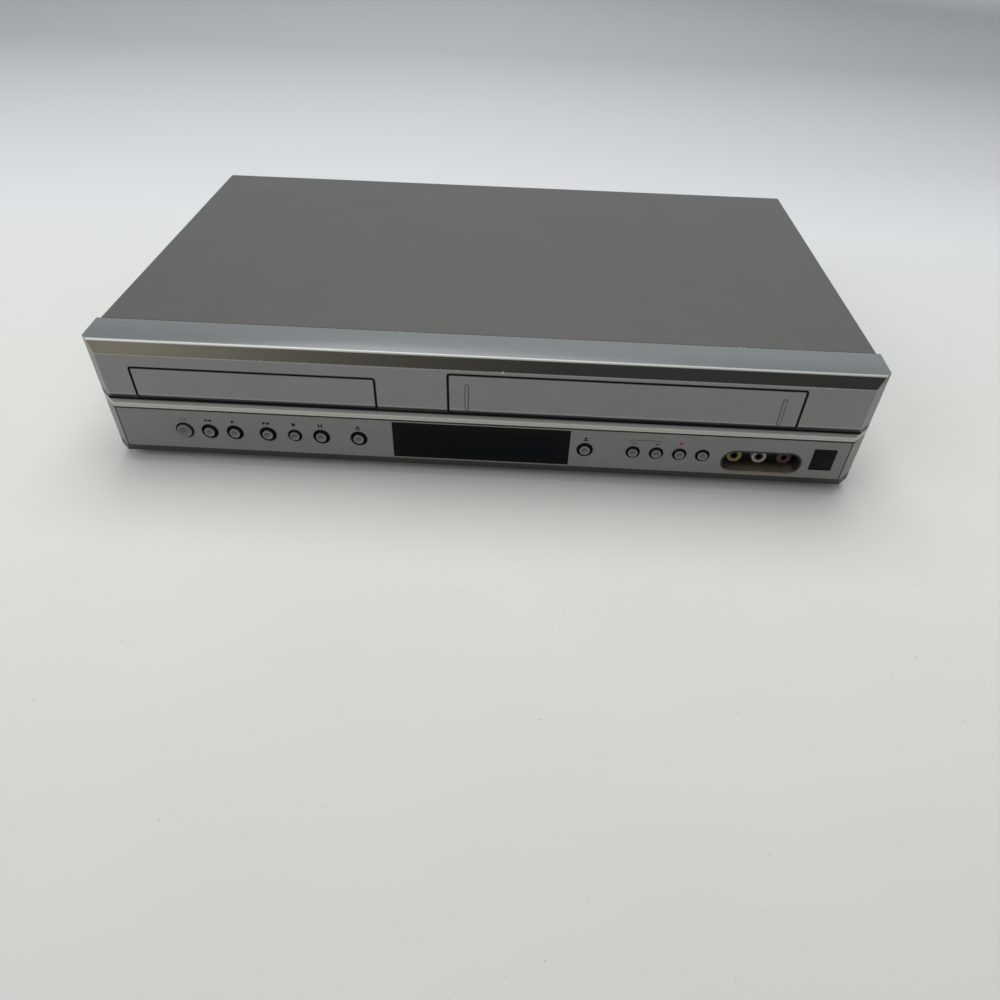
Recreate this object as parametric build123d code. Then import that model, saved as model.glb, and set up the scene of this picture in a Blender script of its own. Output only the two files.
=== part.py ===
"""Slim disc and video cassette player: the shells, the disc loader, the tape deck and the boards.

The frame: +X to the right as seen from the front, +Y to the back, +Z up, in millimetres.
The origin is on the ground under the middle of the outer box.
"""
from build123d import *
from math import asin, atan, cos, degrees, pi, radians, sin, sqrt
import os

# ---------------------------------------------------------------- outer case
body_width = 430.0
body_height = 78.5
case_depth = 258.5            # from the front face to the back edge of the cover
foot_height = 5.5
foot_radius = 11.0
foot_inset_x = 45.0
foot_inset_y = 38.0
cover_sheet = 0.8
cover_inset = 1.0             # the cover is this much inside the ends of the front panel
pan_sheet = 1.0
pan_flange = 13.0
rear_sheet = 1.0
seam = 0.3                    # visible joints between fixed shells
slip = 0.3                    # air beside a piece that moves
fit = 0.05                    # radial clearance of a shaft in its bearing
overshoot = 1.0               # how far a cutter reaches past what it cuts

# ---------------------------------------------------------------- front panel, downwards from the top
panel_wall = 2.5
strip_depth = 26.2
crown_drop = 0.8
brow_run = 5.0
brow_height = 6.6
upper_low = 32.1
undercut_in = 2.5
undercut_low = 36.0
ledge_proud = 1.0
ledge_top = 37.2
ledge_low = 39.9
groove_low = 41.2
groove_in = 0.6
lower_proud = 0.5
lower_low = 66.6
bevel_in = 2.0
bevel_low = 72.7
end_chamfer = 8.0

door_gap = 0.6
door_thick = 2.5
tray_door_share = -0.28919     # places across the front are shares of the width, from the middle
tray_door_width = 132.3
tray_door_top = 14.9
tray_door_height = 19.8
cassette_share = 0.17907
cassette_door_width = 189.8
cassette_door_top = 9.8
cassette_door_height = 24.7
hinge_in = 5.0
hinge_drop = 1.9
hinge_radius = 1.5
hinge_pin_length = 4.5
hinge_ear = 6.0
hinge_ear_wall = 0.5
door_arm = 3.0
spring_wire = 0.35
spring_pitch = 1.1
spring_turns = 5
spring_leg = 9.0

door_frame_depth = 9.0         # how far back the openings of the doors are clear
window_share = 0.23372
window_top = 42.0
window_height = 24.2
window_rim = 2.0
window_flange = 1.0

button_drop = 54.6            # the row of buttons, below the top
button_travel = 0.5
cap_proud = 1.2
flange_thick = 1.0
flange_rim = 1.2
stem_radius = 1.5
stem_gap = 0.1                # between a pressed button and the plunger of its switch
switch_size = 6.0
switch_height = 4.3
plunger_radius = 1.7
plunger_height = 0.5
board_thick = 1.6
front_board_in = 14.0         # front face of the front board, behind the front face
front_board_top = 41.5
front_board_low = 68.5
front_board_inset = 22.0      # from each end of the front panel
# name, share of the width from the middle, hole radius, cap radius
BUTTONS = (
    ("power_button", -0.39465, 4.8, 4.4),
    ("rewind_button", -0.36116, 4.5, 3.1),
    ("play_button", -0.32744, 4.5, 3.1),
    ("fast_forward_button", -0.28326, 4.5, 3.1),
    ("stop_button", -0.24721, 3.7, 2.9),
    ("pause_button", -0.21186, 4.5, 3.1),
    ("open_close_button", -0.16209, 4.5, 3.1),
    ("eject_button", 0.13721, 4.3, 3.1),
    ("tracking_down_button", 0.20047, 3.7, 3.0),
    ("tracking_up_button", 0.23116, 3.7, 3.0),
    ("record_button", 0.26163, 3.7, 3.0),
    ("source_button", 0.29186, 3.7, 3.0),
)

pocket_share = 0.37070
pocket_width = 45.8
pocket_drop = 57.8
pocket_height = 15.4
pocket_wall = 1.2
pocket_back = 12.0            # back face of the pocket, behind the front face
jack_pitch = 14.2
jack_radius = 4.15
jack_bore = 1.7
jack_reach = 6.0
jack_base = 10.5
JACKS = (("video_jack", -1), ("left_audio_jack", 0), ("right_audio_jack", 1))

panel_post_radius = 3.0
PANEL_POSTS = (-0.4186, -0.1349, 0.1605, 0.4395)

display_tube_inset = 6.25      # from each end of the window
display_tube_height = 17.0
display_tube_depth = 6.0

# ---------------------------------------------------------------- back of the case
rear_jack_proud = 5.5
rear_jack_radius = 4.15
rear_jack_hole = 5.0
rear_jack_columns = 6
rear_jack_pitch = 15.0
rear_jack_rise = 17.0
rear_jack_low = 30.0
rear_jack_share = 0.05116
rear_jack_block_depth = 14.0
round_socket_radius = 6.0
round_socket_step = 60.0
inlet_inset = 50.0            # from the left end of the case
inlet_height = 30.0
inlet_width = 17.0
inlet_tall = 9.6
inlet_depth = 15.0
inlet_wall = 1.6
inlet_pin_radius = 1.2
inlet_pin_pitch = 8.6
rear_vent_count = 14
rear_vent_pitch = 6.0
rear_vent_width = 2.6
rear_vent_height = 26.0
rear_vent_share = -0.17442
pan_vent_count = 16
pan_vent_pitch = 7.0
pan_vent_width = 3.0
pan_vent_length = 34.0
screw_radius = 3.2
screw_head = 1.0
screw_shank = 1.4
screw_length = 5.0
rear_screw_drop = 8.0
rear_screw_inset = 12.0
jack_block_wall = 2.0
round_socket_wall = 1.5
round_socket_depth = 6.0

# ---------------------------------------------------------------- disc loader
disc_radius = 60.0
disc_clearance = 1.0          # round a disc in its recess
disc_recess_depth = 2.5
small_disc_radius = 40.0
small_disc_depth = 1.0
disc_back = 76.5              # disc centre behind the front face
tray_width = 130.0
tray_thick = 6.0
tray_length = 173.0
tray_floor = 50.0             # underside of the tray above the ground
tray_travel = 140.0
tray_slot = 21.0              # half width of the slot for the pickup
tray_gear_teeth = 20
gear_module = 1.0
gear_thick = 3.0
backlash = 0.4
tooth_depth = 1.25            # from the pitch line to the root, in modules
tooth_foot = 1.4              # widths of a tooth's foot and tip, to its width on the pitch line
tooth_tip = 0.55
rack_bar = 2.0
rack_inset = 8.0
frame_wall = 2.5
frame_floor = 27.0
frame_floor_thick = 2.5
frame_length = 164.0
frame_front = 18.5
frame_leg = 7.0
tray_hold_down = 2.0
hold_down_length = 20.0
tray_ledge_thick = 2.0
gear_post_radius = 1.5
gear_seat_radius = 3.0
bridge_thick = 1.6
bridge_width = 40.0
clamper_radius = 13.0
clamper_rim = 2.5
clamper_thick = 1.2
motor_radius = 9.0
motor_offset = 34.0
pulley_radius = 4.0
pulley_thick = 3.0
belt_width = 1.2
belt_thick = 1.6
pulley_rim = 0.7
motor_neck = 2.0              # between the motor's can and its pulley
motor_shaft_radius = 1.0
pickup_plate = 2.0
pickup_width = 76.0
pickup_front = 26.0
pickup_length = 120.0
pickup_gap = 1.0
pivot_inset = 6.0
pivot_radius = 1.5
pivot_length = 5.0
pivot_wall = 2.0
spindle_motor_radius = 14.0
spindle_motor_height = 8.0
turntable_radius = 15.0
turntable_thick = 2.4
turntable_hub = 7.3
turntable_hub_height = 2.0
spindle_radius = 4.0
turntable_drop = 1.5          # top of the turntable below the top of the tray
sled_width = 38.0
sled_length = 24.0
sled_thick = 9.0
sled_window_gap = 2.0
nut_width = 6.0               # the arm of the sled that follows the feed screw
nut_thick = 3.0
sled_start = 34.0
sled_travel = 32.0
lens_forward = 7.5
lens_radius = 4.0
lens_height = 4.5
guide_rod_radius = 1.5
guide_rod_step = 15.0
guide_rod_rise = 9.0
rod_end_gap = 2.5             # between the sled and the rods' back bearing at the end of its travel
rod_block = 5.0
feed_screw_radius = 1.8
feed_screw_step = 27.0
coupling_radius = 3.0
coupling_length = 4.0
feed_motor_radius = 7.0
feed_motor_length = 14.0

# ---------------------------------------------------------------- tape deck
cassette_width = 187.0
cassette_depth = 103.0
cassette_proud = 13.0         # how far a cassette stands out of the back of its holder
cassette_thick = 25.0
cassette_play = 0.75
deck_height = 20.0
deck_sheet = 1.2
deck_front = 32.0
deck_back_gap = 17.5          # from the deck to the block of jacks behind it
deck_leg_radius = 4.0
holder_sheet = 1.2
holder_shelf = 12.0
holder_front = 30.0
holder_raise = 44.0           # inside floor of the raised holder above the ground
holder_back_travel = 22.0
holder_drop = 16.0
holder_bridge_side = 25.0     # the frame that is left round the window in the holder's top
holder_bridge_end = 18.0
holder_pin_radius = 2.0
holder_pin_inset = 20.0
holder_pin_rise = 20.0
bracket_sheet = 1.5
bracket_length = 130.0
bracket_top = 73.0
slider_sheet = 1.5
slider_margin = 8.0
slider_clearance = 1.0        # from a slider to the edge of the deck
bracket_foot = 8.0
bracket_foot_length = 12.0
reel_pitch = 91.0
reel_back = 84.0              # reel centres behind the front face
reel_radius = 28.0
reel_thick = 3.0
reel_lift = 0.8
reel_hub_radius = 10.0
reel_hub_height = 13.0
reel_fins = 3
reel_fin = 2.0
reel_post_radius = 2.0
idler_radius = 9.0
idler_thick = 3.0
idler_arm_length = 26.0
idler_arm_thick = 1.5
idler_arm_width = 8.0
idler_pivot_radius = 5.0
drum_radius = 31.0
drum_inset = 46.0             # drum centre in front of the deck's back edge
drum_left = 4.0               # to the left of the cassette's middle
drum_tilt = 5.0
lower_drum_height = 17.0
upper_drum_height = 15.0
drum_gap = 0.4
drum_foot = 2.0
drum_step = 4.0
drum_cap_radius = 20.0
drum_cap_height = 3.0
guide_orbit = 46.0
guide_start = 52.0            # start angle from straight ahead of the drum
guide_sweep = 105.0
guide_slot = 5.0
guide_slot_end = 1.6          # free length past the peg at each end of its track
guide_peg_low = 2.0           # how far the peg reaches below the deck
guide_roller_lift = 2.0       # the roller above its shoe, and the post above the roller
guide_post_radius = 1.6
guide_roller_radius = 3.0
guide_roller_height = 15.0
guide_base_radius = 6.0
guide_base_thick = 3.0
capstan_x = 64.0
capstan_ahead = 28.0          # capstan in front of the drum's centre
capstan_radius = 1.5
capstan_top = 52.0
flywheel_radius = 23.0
flywheel_thick = 5.0
bearing_radius = 4.5
bearing_height = 9.0
bearing_seat = 1.0            # how much of the bearing stands on the deck
pinch_radius = 6.5
pinch_height = 14.0
pinch_low = 33.0
pinch_arm_length = 24.0
pinch_arm_thick = 2.5
pinch_arm_width = 8.0
pinch_swing = 32.0
pinch_post_radius = 2.0
head_width = 14.0
head_depth = 9.0
head_height = 18.0
head_base = 5.0
head_rim = 2.0
head_gap = 1.5

# ---------------------------------------------------------------- boards
board_height = 12.0
main_board_width = 176.0
main_board_length = 128.0
power_board_gap = 10.0         # behind the frame of the disc loader
power_board_back_gap = 1.0
board_margin = 6.0
board_post_radius = 3.0
main_board_chips = 3
main_board_capacitors = 6
transformer_share = 0.55      # places along a board are shares of its width
capacitor_share = 0.4
transformer_width = 36.0
transformer_height = 32.0
capacitor_radius = 11.0
capacitor_height = 30.0
heat_sink_width = 40.0
heat_sink_thick = 3.0
heat_sink_inset = 10.0
small_capacitor_inset = 12.0
power_board_capacitors = 4
chip_size = 24.0
chip_thick = 2.4
small_capacitor_radius = 4.0
small_capacitor_height = 9.0

# ---------------------------------------------------------------- places worked out from the sizes above
half_width = body_width / 2
tray_door_middle = tray_door_share * body_width
cassette_middle = cassette_share * body_width
pocket_middle = pocket_share * body_width
window_width = window_share * body_width
rear_jack_middle = rear_jack_share * body_width
rear_vent_middle = rear_vent_share * body_width
inlet_middle = inlet_inset - half_width
front_reach = max(ledge_proud, lower_proud + cap_proud)
face_y = front_reach - (front_reach + case_depth + rear_jack_proud) / 2
back_y = face_y + case_depth
seam_y = face_y + strip_depth
cover_half = half_width - cover_inset
pan_top = foot_height + pan_sheet
rear_inner_y = back_y - rear_sheet
disc_y = face_y + disc_back
tray_front_y = face_y + door_thick
tray_top = tray_floor + tray_thick
gear_radius = gear_module * tray_gear_teeth / 2
rack_x = tray_door_middle + tray_width / 2 - rack_inset
gear_x = rack_x - gear_radius
gear_y = face_y + frame_front + gear_radius + gear_module + slip
gear_low = tray_floor - slip - gear_thick
turntable_top = tray_top - turntable_drop
rod_z = frame_floor + pickup_plate + guide_rod_rise
deck_top = deck_height + deck_sheet
holder_half = cassette_width / 2 + cassette_play
holder_length = cassette_depth - cassette_proud
holder_y = face_y + holder_front
reel_y = face_y + reel_back
deck_front_y = face_y + deck_front
deck_back_y = rear_inner_y - rear_jack_block_depth - deck_back_gap
drum_x = cassette_middle - drum_left
drum_y = deck_back_y - drum_inset
board_top = board_height + board_thick
frame_back_y = face_y + frame_front + frame_length
power_board_front = frame_back_y + power_board_gap
power_board_back = rear_inner_y - power_board_back_gap
power_board_length = power_board_back - power_board_front


# ---------------------------------------------------------------- small shape helpers
def block(x0, x1, y0, y1, z0, z1):
    """A box between two corners."""
    size = Box(x1 - x0, y1 - y0, z1 - z0)
    return Pos((x0 + x1) / 2, (y0 + y1) / 2, (z0 + z1) / 2) * size


def post(x, y, z0, z1, radius):
    """An upright cylinder."""
    return Pos(x, y, (z0 + z1) / 2) * Cylinder(radius, z1 - z0)


def rod_y(x, z, y0, y1, radius):
    """A cylinder that lies front to back."""
    return Pos(x, (y0 + y1) / 2, z) * Rot(90, 0, 0) * Cylinder(radius, y1 - y0)


def rod_x(y, z, x0, x1, radius):
    """A cylinder that lies left to right."""
    return Pos((x0 + x1) / 2, y, z) * Rot(0, 90, 0) * Cylinder(radius, x1 - x0)


def across(points, x0, x1):
    """An outline in depth and height, drawn out from x0 to x1."""
    outline = Plane.YZ.offset(x0) * Polygon(*points, align=None)
    return extrude(outline, amount=x1 - x0)


def upright(points, z0, z1):
    """An outline seen from above, drawn out from z0 to z1."""
    outline = Plane.XY.offset(z0) * Polygon(*points, align=None)
    return extrude(outline, amount=z1 - z0)


def write(name, shape):
    """Save one piece under its own name."""
    export_step(shape, os.path.join("parts", name + ".step"))


def gear_points(teeth, grow):
    """Corners of a gear with straight-sided teeth, one tooth pointing along +X."""
    pitch_radius = gear_module * teeth / 2
    root = pitch_radius - tooth_depth * gear_module
    tip = pitch_radius + gear_module - grow
    half_pitch = (pi * gear_module / 2 - backlash) / 2
    corners = []
    for tooth in range(teeth):
        middle = 2 * pi * tooth / teeth
        for side, radius, half in ((-1, root, tooth_foot), (-1, tip, tooth_tip), (1, tip, tooth_tip),
                                   (1, root, tooth_foot)):
            turn = middle + side * half * half_pitch / radius
            corners.append((radius * cos(turn), radius * sin(turn)))
    return corners


# ---------------------------------------------------------------- front panel and what it carries
def from_top(drop):
    """Height above the ground of a line measured down from the top."""
    return body_height - drop


def panel_outline():
    """The outer section of the front panel, from the top strip down to the bottom bevel."""
    section = (
        (strip_depth, 0.0),
        (brow_run, crown_drop),
        (0.0, brow_height),
        (0.0, upper_low),
        (undercut_in, undercut_low),
        (-ledge_proud, ledge_top),
        (-ledge_proud, ledge_low),
        (groove_in, ledge_low),
        (groove_in, groove_low),
        (-lower_proud, groove_low),
        (-lower_proud, lower_low),
        (bevel_in, bevel_low),
        (strip_depth, bevel_low),
    )
    return [(face_y + back, from_top(drop)) for back, drop in section]


def panel_hollow_outline():
    """The inner section of the front panel, one wall inside the outer one."""
    wall = panel_wall
    section = (
        (strip_depth + wall, wall),
        (brow_run + wall / 2, crown_drop + wall),
        (wall, brow_height + wall / 2),
        (wall, upper_low),
        (undercut_in + wall, undercut_low),
        (undercut_in + wall, ledge_low),
        (wall, groove_low),
        (wall, lower_low + wall / 2),
        (bevel_in + wall, bevel_low - wall),
        (strip_depth + wall, bevel_low - wall),
    )
    return [(face_y + back, from_top(drop)) for back, drop in section]


def end_wedge(side, inset):
    """The corner that is taken off one end of the front panel, seen from above."""
    reach = end_chamfer + inset
    edge = half_width + overshoot
    front = face_y - ledge_proud - overshoot
    start = half_width - reach - ledge_proud - overshoot
    points = ((side * start, front), (side * edge, front), (side * edge, front + edge - start))
    return upright(points if side > 0 else points[::-1], 0.0, body_height + overshoot)


def door_outline(top, height):
    """Section of a door that carries on the upper face and the start of the undercut."""
    low = top + height
    lean = undercut_in * (low - upper_low) / (undercut_low - upper_low)
    section = (
        (0.0, top),
        (0.0, upper_low),
        (lean, low),
        (lean + door_thick, low),
        (door_thick, upper_low - door_thick / 2),
        (door_thick, top),
    )
    return [(face_y + back, from_top(drop)) for back, drop in section]


def door_opening(middle, width, top, height):
    """The hole in the panel round a door, wider than it by the visible gap."""
    reach = width / 2 + door_gap
    low = from_top(top + height + door_gap)
    high = from_top(top - door_gap)
    front = face_y - ledge_proud
    return block(middle - reach, middle + reach, front, face_y + door_frame_depth, low, high)


def pocket_shape(grow, y0, y1):
    """A slot with round ends that fills the pocket, grown by a wall."""
    outline = SlotOverall(pocket_width + 2 * grow, pocket_height + 2 * grow)
    solid = extrude(Plane.XZ * outline, amount=y1 - y0)
    return Pos(pocket_middle, y1, from_top(pocket_drop)) * solid


def hinge_y():
    return face_y + hinge_in


def hinge_z():
    return from_top(cassette_door_top + hinge_drop)


def panel_ear(side):
    """The bearing behind the panel for one end of the cassette door."""
    inner = cassette_middle + side * (cassette_door_width / 2 + door_gap)
    outer = inner + side * hinge_pin_length
    low, high = sorted((inner, outer))
    top = from_top(brow_height + panel_wall / 2)
    ear = block(low, high, face_y + panel_wall, hinge_y() + hinge_ear / 2, hinge_z() - hinge_ear / 2, top)
    return ear - rod_x(hinge_y(), hinge_z(), low, high, hinge_radius + fit)


def front_panel():
    panel = across(panel_outline(), -half_width, half_width)
    hollow = across(panel_hollow_outline(), -half_width + panel_wall, half_width - panel_wall)
    cuts = []
    for side in (-1, 1):
        hollow -= end_wedge(side, panel_wall)
        cuts.append(end_wedge(side, 0.0))
    cuts.append(hollow)
    cuts.append(door_opening(tray_door_middle, tray_door_width, tray_door_top, tray_door_height))
    cuts.append(door_opening(cassette_middle, cassette_door_width, cassette_door_top, cassette_door_height))
    low = from_top(window_top + window_height)
    front = face_y - ledge_proud
    behind = face_y + panel_wall + overshoot
    cuts.append(block(-window_width / 2, window_width / 2, front, behind, low, from_top(window_top)))
    for _, share, hole, _ in BUTTONS:
        cuts.append(rod_y(share * body_width, from_top(button_drop), front, behind, hole))
    cuts.append(pocket_shape(0.0, front, behind))
    panel -= cuts
    for side in (-1, 1):
        panel += panel_ear(side)
    for share in PANEL_POSTS:
        middle = from_top((front_board_top + front_board_low) / 2)
        panel += rod_y(share * body_width, middle, face_y + panel_wall, face_y + front_board_in,
                       panel_post_radius)
    return panel


def tray_door():
    half = tray_door_width / 2
    outline = door_outline(tray_door_top, tray_door_height)
    return across(outline, tray_door_middle - half, tray_door_middle + half)


def cassette_door():
    half = cassette_door_width / 2
    door = across(door_outline(cassette_door_top, cassette_door_height),
                  cassette_middle - half, cassette_middle + half)
    for side in (-1, 1):
        end = cassette_middle + side * half
        low, high = sorted((end, end - side * door_arm))
        reach = hinge_radius + hinge_ear_wall
        door += block(low, high, face_y + door_thick, hinge_y() + reach, hinge_z() - reach,
                      from_top(cassette_door_top))
        tip = end + side * (hinge_pin_length + door_gap - slip)
        low, high = sorted((end, tip))
        door += rod_x(hinge_y(), hinge_z(), low, high, hinge_radius)
    inner = cassette_middle - half + door_arm
    stub = spring_turns * spring_pitch + 2 * slip + 2 * spring_wire
    return door + rod_x(hinge_y(), hinge_z(), inner, inner + stub, hinge_radius)


def door_spring():
    """A small torsion spring on the left stub of the cassette door, with one leg along the door."""
    start = cassette_middle - cassette_door_width / 2 + door_arm + slip
    coil_radius = hinge_radius + slip + spring_wire
    path = Helix(spring_pitch, spring_turns * spring_pitch, coil_radius)
    section = Plane(origin=path @ 0, z_dir=path % 0) * Circle(spring_wire)
    turned = Rot(-90, 0, 0) * Rot(0, 90, 0) * sweep(section, path=path)
    coil = Pos(start + spring_wire, hinge_y(), hinge_z()) * turned
    leg_x = start + spring_wire
    foot = hinge_z() - spring_leg
    leg = post(leg_x, hinge_y() - coil_radius, foot, hinge_z(), spring_wire)
    return coil + leg


def display_window():
    """A dark window with a rim behind the panel."""
    half = window_width / 2 - fit
    low = from_top(window_top + window_height) + fit
    high = from_top(window_top) - fit
    inner = face_y + panel_wall
    pane = block(-half, half, face_y - lower_proud, inner, low, high)
    rim = window_rim
    return pane + block(-half - rim, half + rim, inner, inner + window_flange, low - rim / 2, high + rim / 4)


def av_pocket():
    """The cup that holds the front jacks."""
    back = face_y + pocket_back
    inner = face_y + panel_wall
    cup = pocket_shape(-fit, face_y - lower_proud, inner) + pocket_shape(pocket_wall, inner, back)
    cup -= pocket_shape(-pocket_wall, face_y - ledge_proud, back - pocket_wall)
    for _, step in JACKS:
        place = pocket_middle + step * jack_pitch
        cup -= rod_y(place, from_top(pocket_drop), back - 2 * pocket_wall, back + pocket_wall,
                     jack_radius + fit)
    return cup


def front_jack(step):
    """One round jack: its barrel through the pocket and its base on the front board."""
    place = pocket_middle + step * jack_pitch
    z = from_top(pocket_drop)
    back = face_y + pocket_back
    board = face_y + front_board_in
    barrel = rod_y(place, z, back - pocket_wall - jack_reach, board, jack_radius)
    reach = jack_base / 2
    base = block(place - reach, place + reach, back, board, z - reach, z + reach)
    return barrel + base - rod_y(place, z, back - pocket_wall - jack_reach - overshoot, back, jack_bore)


def switch_tip():
    """Where the plungers of the small switches end."""
    return face_y + front_board_in - switch_height - plunger_height


def button(place, hole, cap):
    z = from_top(button_drop)
    inner = face_y + panel_wall + slip
    body = rod_y(place, z, face_y - lower_proud - cap_proud, inner, cap)
    flange = rod_y(place, z, inner, inner + flange_thick, hole + flange_rim)
    stem = rod_y(place, z, inner + flange_thick, switch_tip() - button_travel - stem_gap, stem_radius)
    return body + flange + stem


def front_board():
    """The board behind the lower face: one switch for each button, and the tube that shows the digits."""
    half = half_width - front_board_inset
    front = face_y + front_board_in
    board = block(-half, half, front, front + board_thick, from_top(front_board_low),
                  from_top(front_board_top))
    z = from_top(button_drop)
    reach = switch_size / 2
    for _, share, _, _ in BUTTONS:
        place = share * body_width
        board += block(place - reach, place + reach, front - switch_height, front, z - reach, z + reach)
        board += rod_y(place, z, switch_tip(), front - switch_height, plunger_radius)
    chip = front + board_thick
    board += block(-chip_size, chip_size, chip, chip + chip_thick, z - chip_size / 4, z + chip_size / 4)
    half = window_width / 2 - display_tube_inset
    middle = from_top(window_top + window_height / 2)
    rise = display_tube_height / 2
    return board + block(-half, half, front - display_tube_depth, front, middle - rise, middle + rise)


# ---------------------------------------------------------------- shells
def top_cover():
    """A folded sheet: the top and both sides."""
    front = seam_y + seam
    outer = block(-cover_half, cover_half, front, back_y, foot_height + seam, body_height)
    outer = fillet(outer.edges().filter_by(Axis.Y).group_by(Axis.Z)[-1], 3 * cover_sheet)
    inner_half = cover_half - cover_sheet
    inner = block(-inner_half, inner_half, front - overshoot, back_y + overshoot, 0.0,
                  body_height - cover_sheet)
    cover = outer - inner
    for side, y in screw_places():
        low, high = sorted((side * (inner_half - overshoot), side * (cover_half + overshoot)))
        cover -= rod_x(y, screw_z(), low, high, screw_shank)
    return cover


def screw_z():
    return pan_top + pan_flange / 2


def screw_places():
    """The four screws that hold the cover: two on each side."""
    inset = case_depth / 5
    return [(side, y) for side in (-1, 1) for y in (seam_y + inset, back_y - inset)]


def rear_screw_places():
    """The screws through the top edge of the back panel."""
    reach = cover_half - rear_screw_inset
    return [(x, from_top(rear_screw_drop)) for x in (-reach, 0.0, reach)]


def cover_screws():
    """All screws that show: four in the sides and three in the back."""
    screws = []
    for side, y in screw_places():
        head = sorted((side * cover_half, side * (cover_half + screw_head)))
        shank = sorted((side * cover_half, side * (cover_half - screw_length)))
        screw = rod_x(y, screw_z(), head[0], head[1], screw_radius)
        screws.append(screw + rod_x(y, screw_z(), shank[0], shank[1], screw_shank))
    for x, z in rear_screw_places():
        screw = rod_y(x, z, back_y, back_y + screw_head, screw_radius)
        screws.append(screw + rod_y(x, z, back_y - screw_length, back_y, screw_shank))
    return Compound(children=screws)


def bottom_pan():
    """The floor of the case, with turned-up sides, slots for air and posts for the boards."""
    half = cover_half - cover_sheet - fit
    front = seam_y + seam
    pan = block(-half, half, front, rear_inner_y, foot_height, pan_top)
    for side in (-1, 1):
        low, high = sorted((side * half, side * (half - pan_sheet)))
        flange = block(low, high, front, rear_inner_y, pan_top, pan_top + pan_flange)
        for place, y in screw_places():
            if place == side:
                flange -= rod_x(y, screw_z(), low - overshoot, high + overshoot, screw_shank)
        pan += flange
    pan += block(-half, half, front, front + pan_sheet, pan_top, from_top(front_board_low))
    slots = []
    for row in (-1, 1):
        for step in range(pan_vent_count):
            x = row * half / 2 + (step - (pan_vent_count - 1) / 2) * pan_vent_pitch
            slot = block(x, x + pan_vent_width, -pan_vent_length / 2, pan_vent_length / 2, 0.0, body_height)
            slots.append(slot)
    pan -= slots
    for x, y in board_posts():
        pan += post(x, y, pan_top, board_height, board_post_radius)
    return pan


def rear_panel():
    """The flat sheet at the back, with holes for the jacks, the inlet, the air and the screws."""
    half = cover_half - cover_sheet - fit
    panel = block(-half, half, rear_inner_y, back_y, foot_height, from_top(cover_sheet + fit))
    cuts = []
    before, after = rear_inner_y - overshoot, back_y + overshoot
    for x, z in rear_jack_places():
        cuts.append(rod_y(x, z, before, after, rear_jack_hole))
    cuts.append(rod_y(round_socket_x(), rear_jack_low, before, after, round_socket_radius + seam))
    wide = inlet_width / 2 + inlet_wall + fit
    tall = inlet_tall / 2 + inlet_wall + fit
    cuts.append(block(inlet_middle - wide, inlet_middle + wide, before, after,
                      inlet_height - tall, inlet_height + tall))
    middle = from_top(body_height / 2)
    for step in range(rear_vent_count):
        x = rear_vent_middle + (step - (rear_vent_count - 1) / 2) * rear_vent_pitch
        cuts.append(block(x, x + rear_vent_width, before, after, middle - rear_vent_height / 2,
                          middle + rear_vent_height / 2))
    for x, z in rear_screw_places():
        cuts.append(rod_y(x, z, before, after, screw_shank))
    return panel - cuts


def feet():
    """Four round feet under the pan."""
    places = [(sx * (half_width - foot_inset_x), sy * (case_depth / 2 - foot_inset_y))
              for sx in (-1, 1) for sy in (-1, 1)]
    return Compound(children=[post(x, y, 0.0, foot_height, foot_radius) for x, y in places])


def rear_jack_places():
    """Two rows of round jacks."""
    first = rear_jack_middle - (rear_jack_columns - 1) * rear_jack_pitch / 2
    return [(first + column * rear_jack_pitch, rear_jack_low + row * rear_jack_rise)
            for column in range(rear_jack_columns) for row in range(2)]


def round_socket_x():
    return rear_jack_middle + round_socket_step


def rear_jack_block():
    """The housing behind the back panel, with its barrels and the round picture socket."""
    reach = (rear_jack_columns - 1) * rear_jack_pitch / 2 + rear_jack_hole + jack_block_wall
    front = rear_inner_y - rear_jack_block_depth
    high = rear_jack_low + rear_jack_rise + rear_jack_hole + jack_block_wall
    right = round_socket_x() + round_socket_radius + jack_block_wall
    shape = block(rear_jack_middle - reach, rear_jack_middle + reach, front, rear_inner_y, pan_top, high)
    step_high = rear_jack_low + round_socket_radius + jack_block_wall
    shape += block(rear_jack_middle + reach, right, front, rear_inner_y, pan_top, step_high)
    tip = back_y + rear_jack_proud
    bores = []
    for x, z in rear_jack_places():
        shape += rod_y(x, z, rear_inner_y, tip, rear_jack_radius)
        bores.append(rod_y(x, z, rear_inner_y, tip + overshoot, jack_bore))
    shape += rod_y(round_socket_x(), rear_jack_low, rear_inner_y, back_y + rear_sheet, round_socket_radius)
    bores.append(rod_y(round_socket_x(), rear_jack_low, rear_inner_y - round_socket_depth, tip,
                       round_socket_radius - round_socket_wall))
    return shape - bores


def power_inlet():
    """A two-pin inlet for a power cord."""
    wide = inlet_width / 2
    tall = inlet_tall / 2
    wall = inlet_wall
    front = back_y - inlet_depth
    shape = block(inlet_middle - wide - wall, inlet_middle + wide + wall, front, back_y + wall,
                  inlet_height - tall - wall, inlet_height + tall + wall)
    shape -= block(inlet_middle - wide, inlet_middle + wide, front + 2 * wall, back_y + 2 * wall,
                   inlet_height - tall, inlet_height + tall)
    for side in (-1, 1):
        x = inlet_middle + side * inlet_pin_pitch / 2
        shape += rod_y(x, inlet_height, front + wall, back_y - wall, inlet_pin_radius)
    foot = block(inlet_middle - wide, inlet_middle + wide, front, front + 2 * wall, board_top,
                 inlet_height - tall)
    return shape + foot


# ---------------------------------------------------------------- disc loader
def frame_leg_front():
    """The front legs stand just behind the turned-up front edge of the pan."""
    return seam_y + seam + pan_sheet + slip


def pickup_start():
    return face_y + frame_front + pickup_front


def pickup_low():
    """Underside of the pickup's plate, level with the frame's floor."""
    return frame_floor


def pivot_y():
    """The pickup tips about two pins near its back edge."""
    return pickup_start() + pickup_length - pivot_inset


def pivot_z():
    return pickup_low() + pickup_plate / 2


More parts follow.
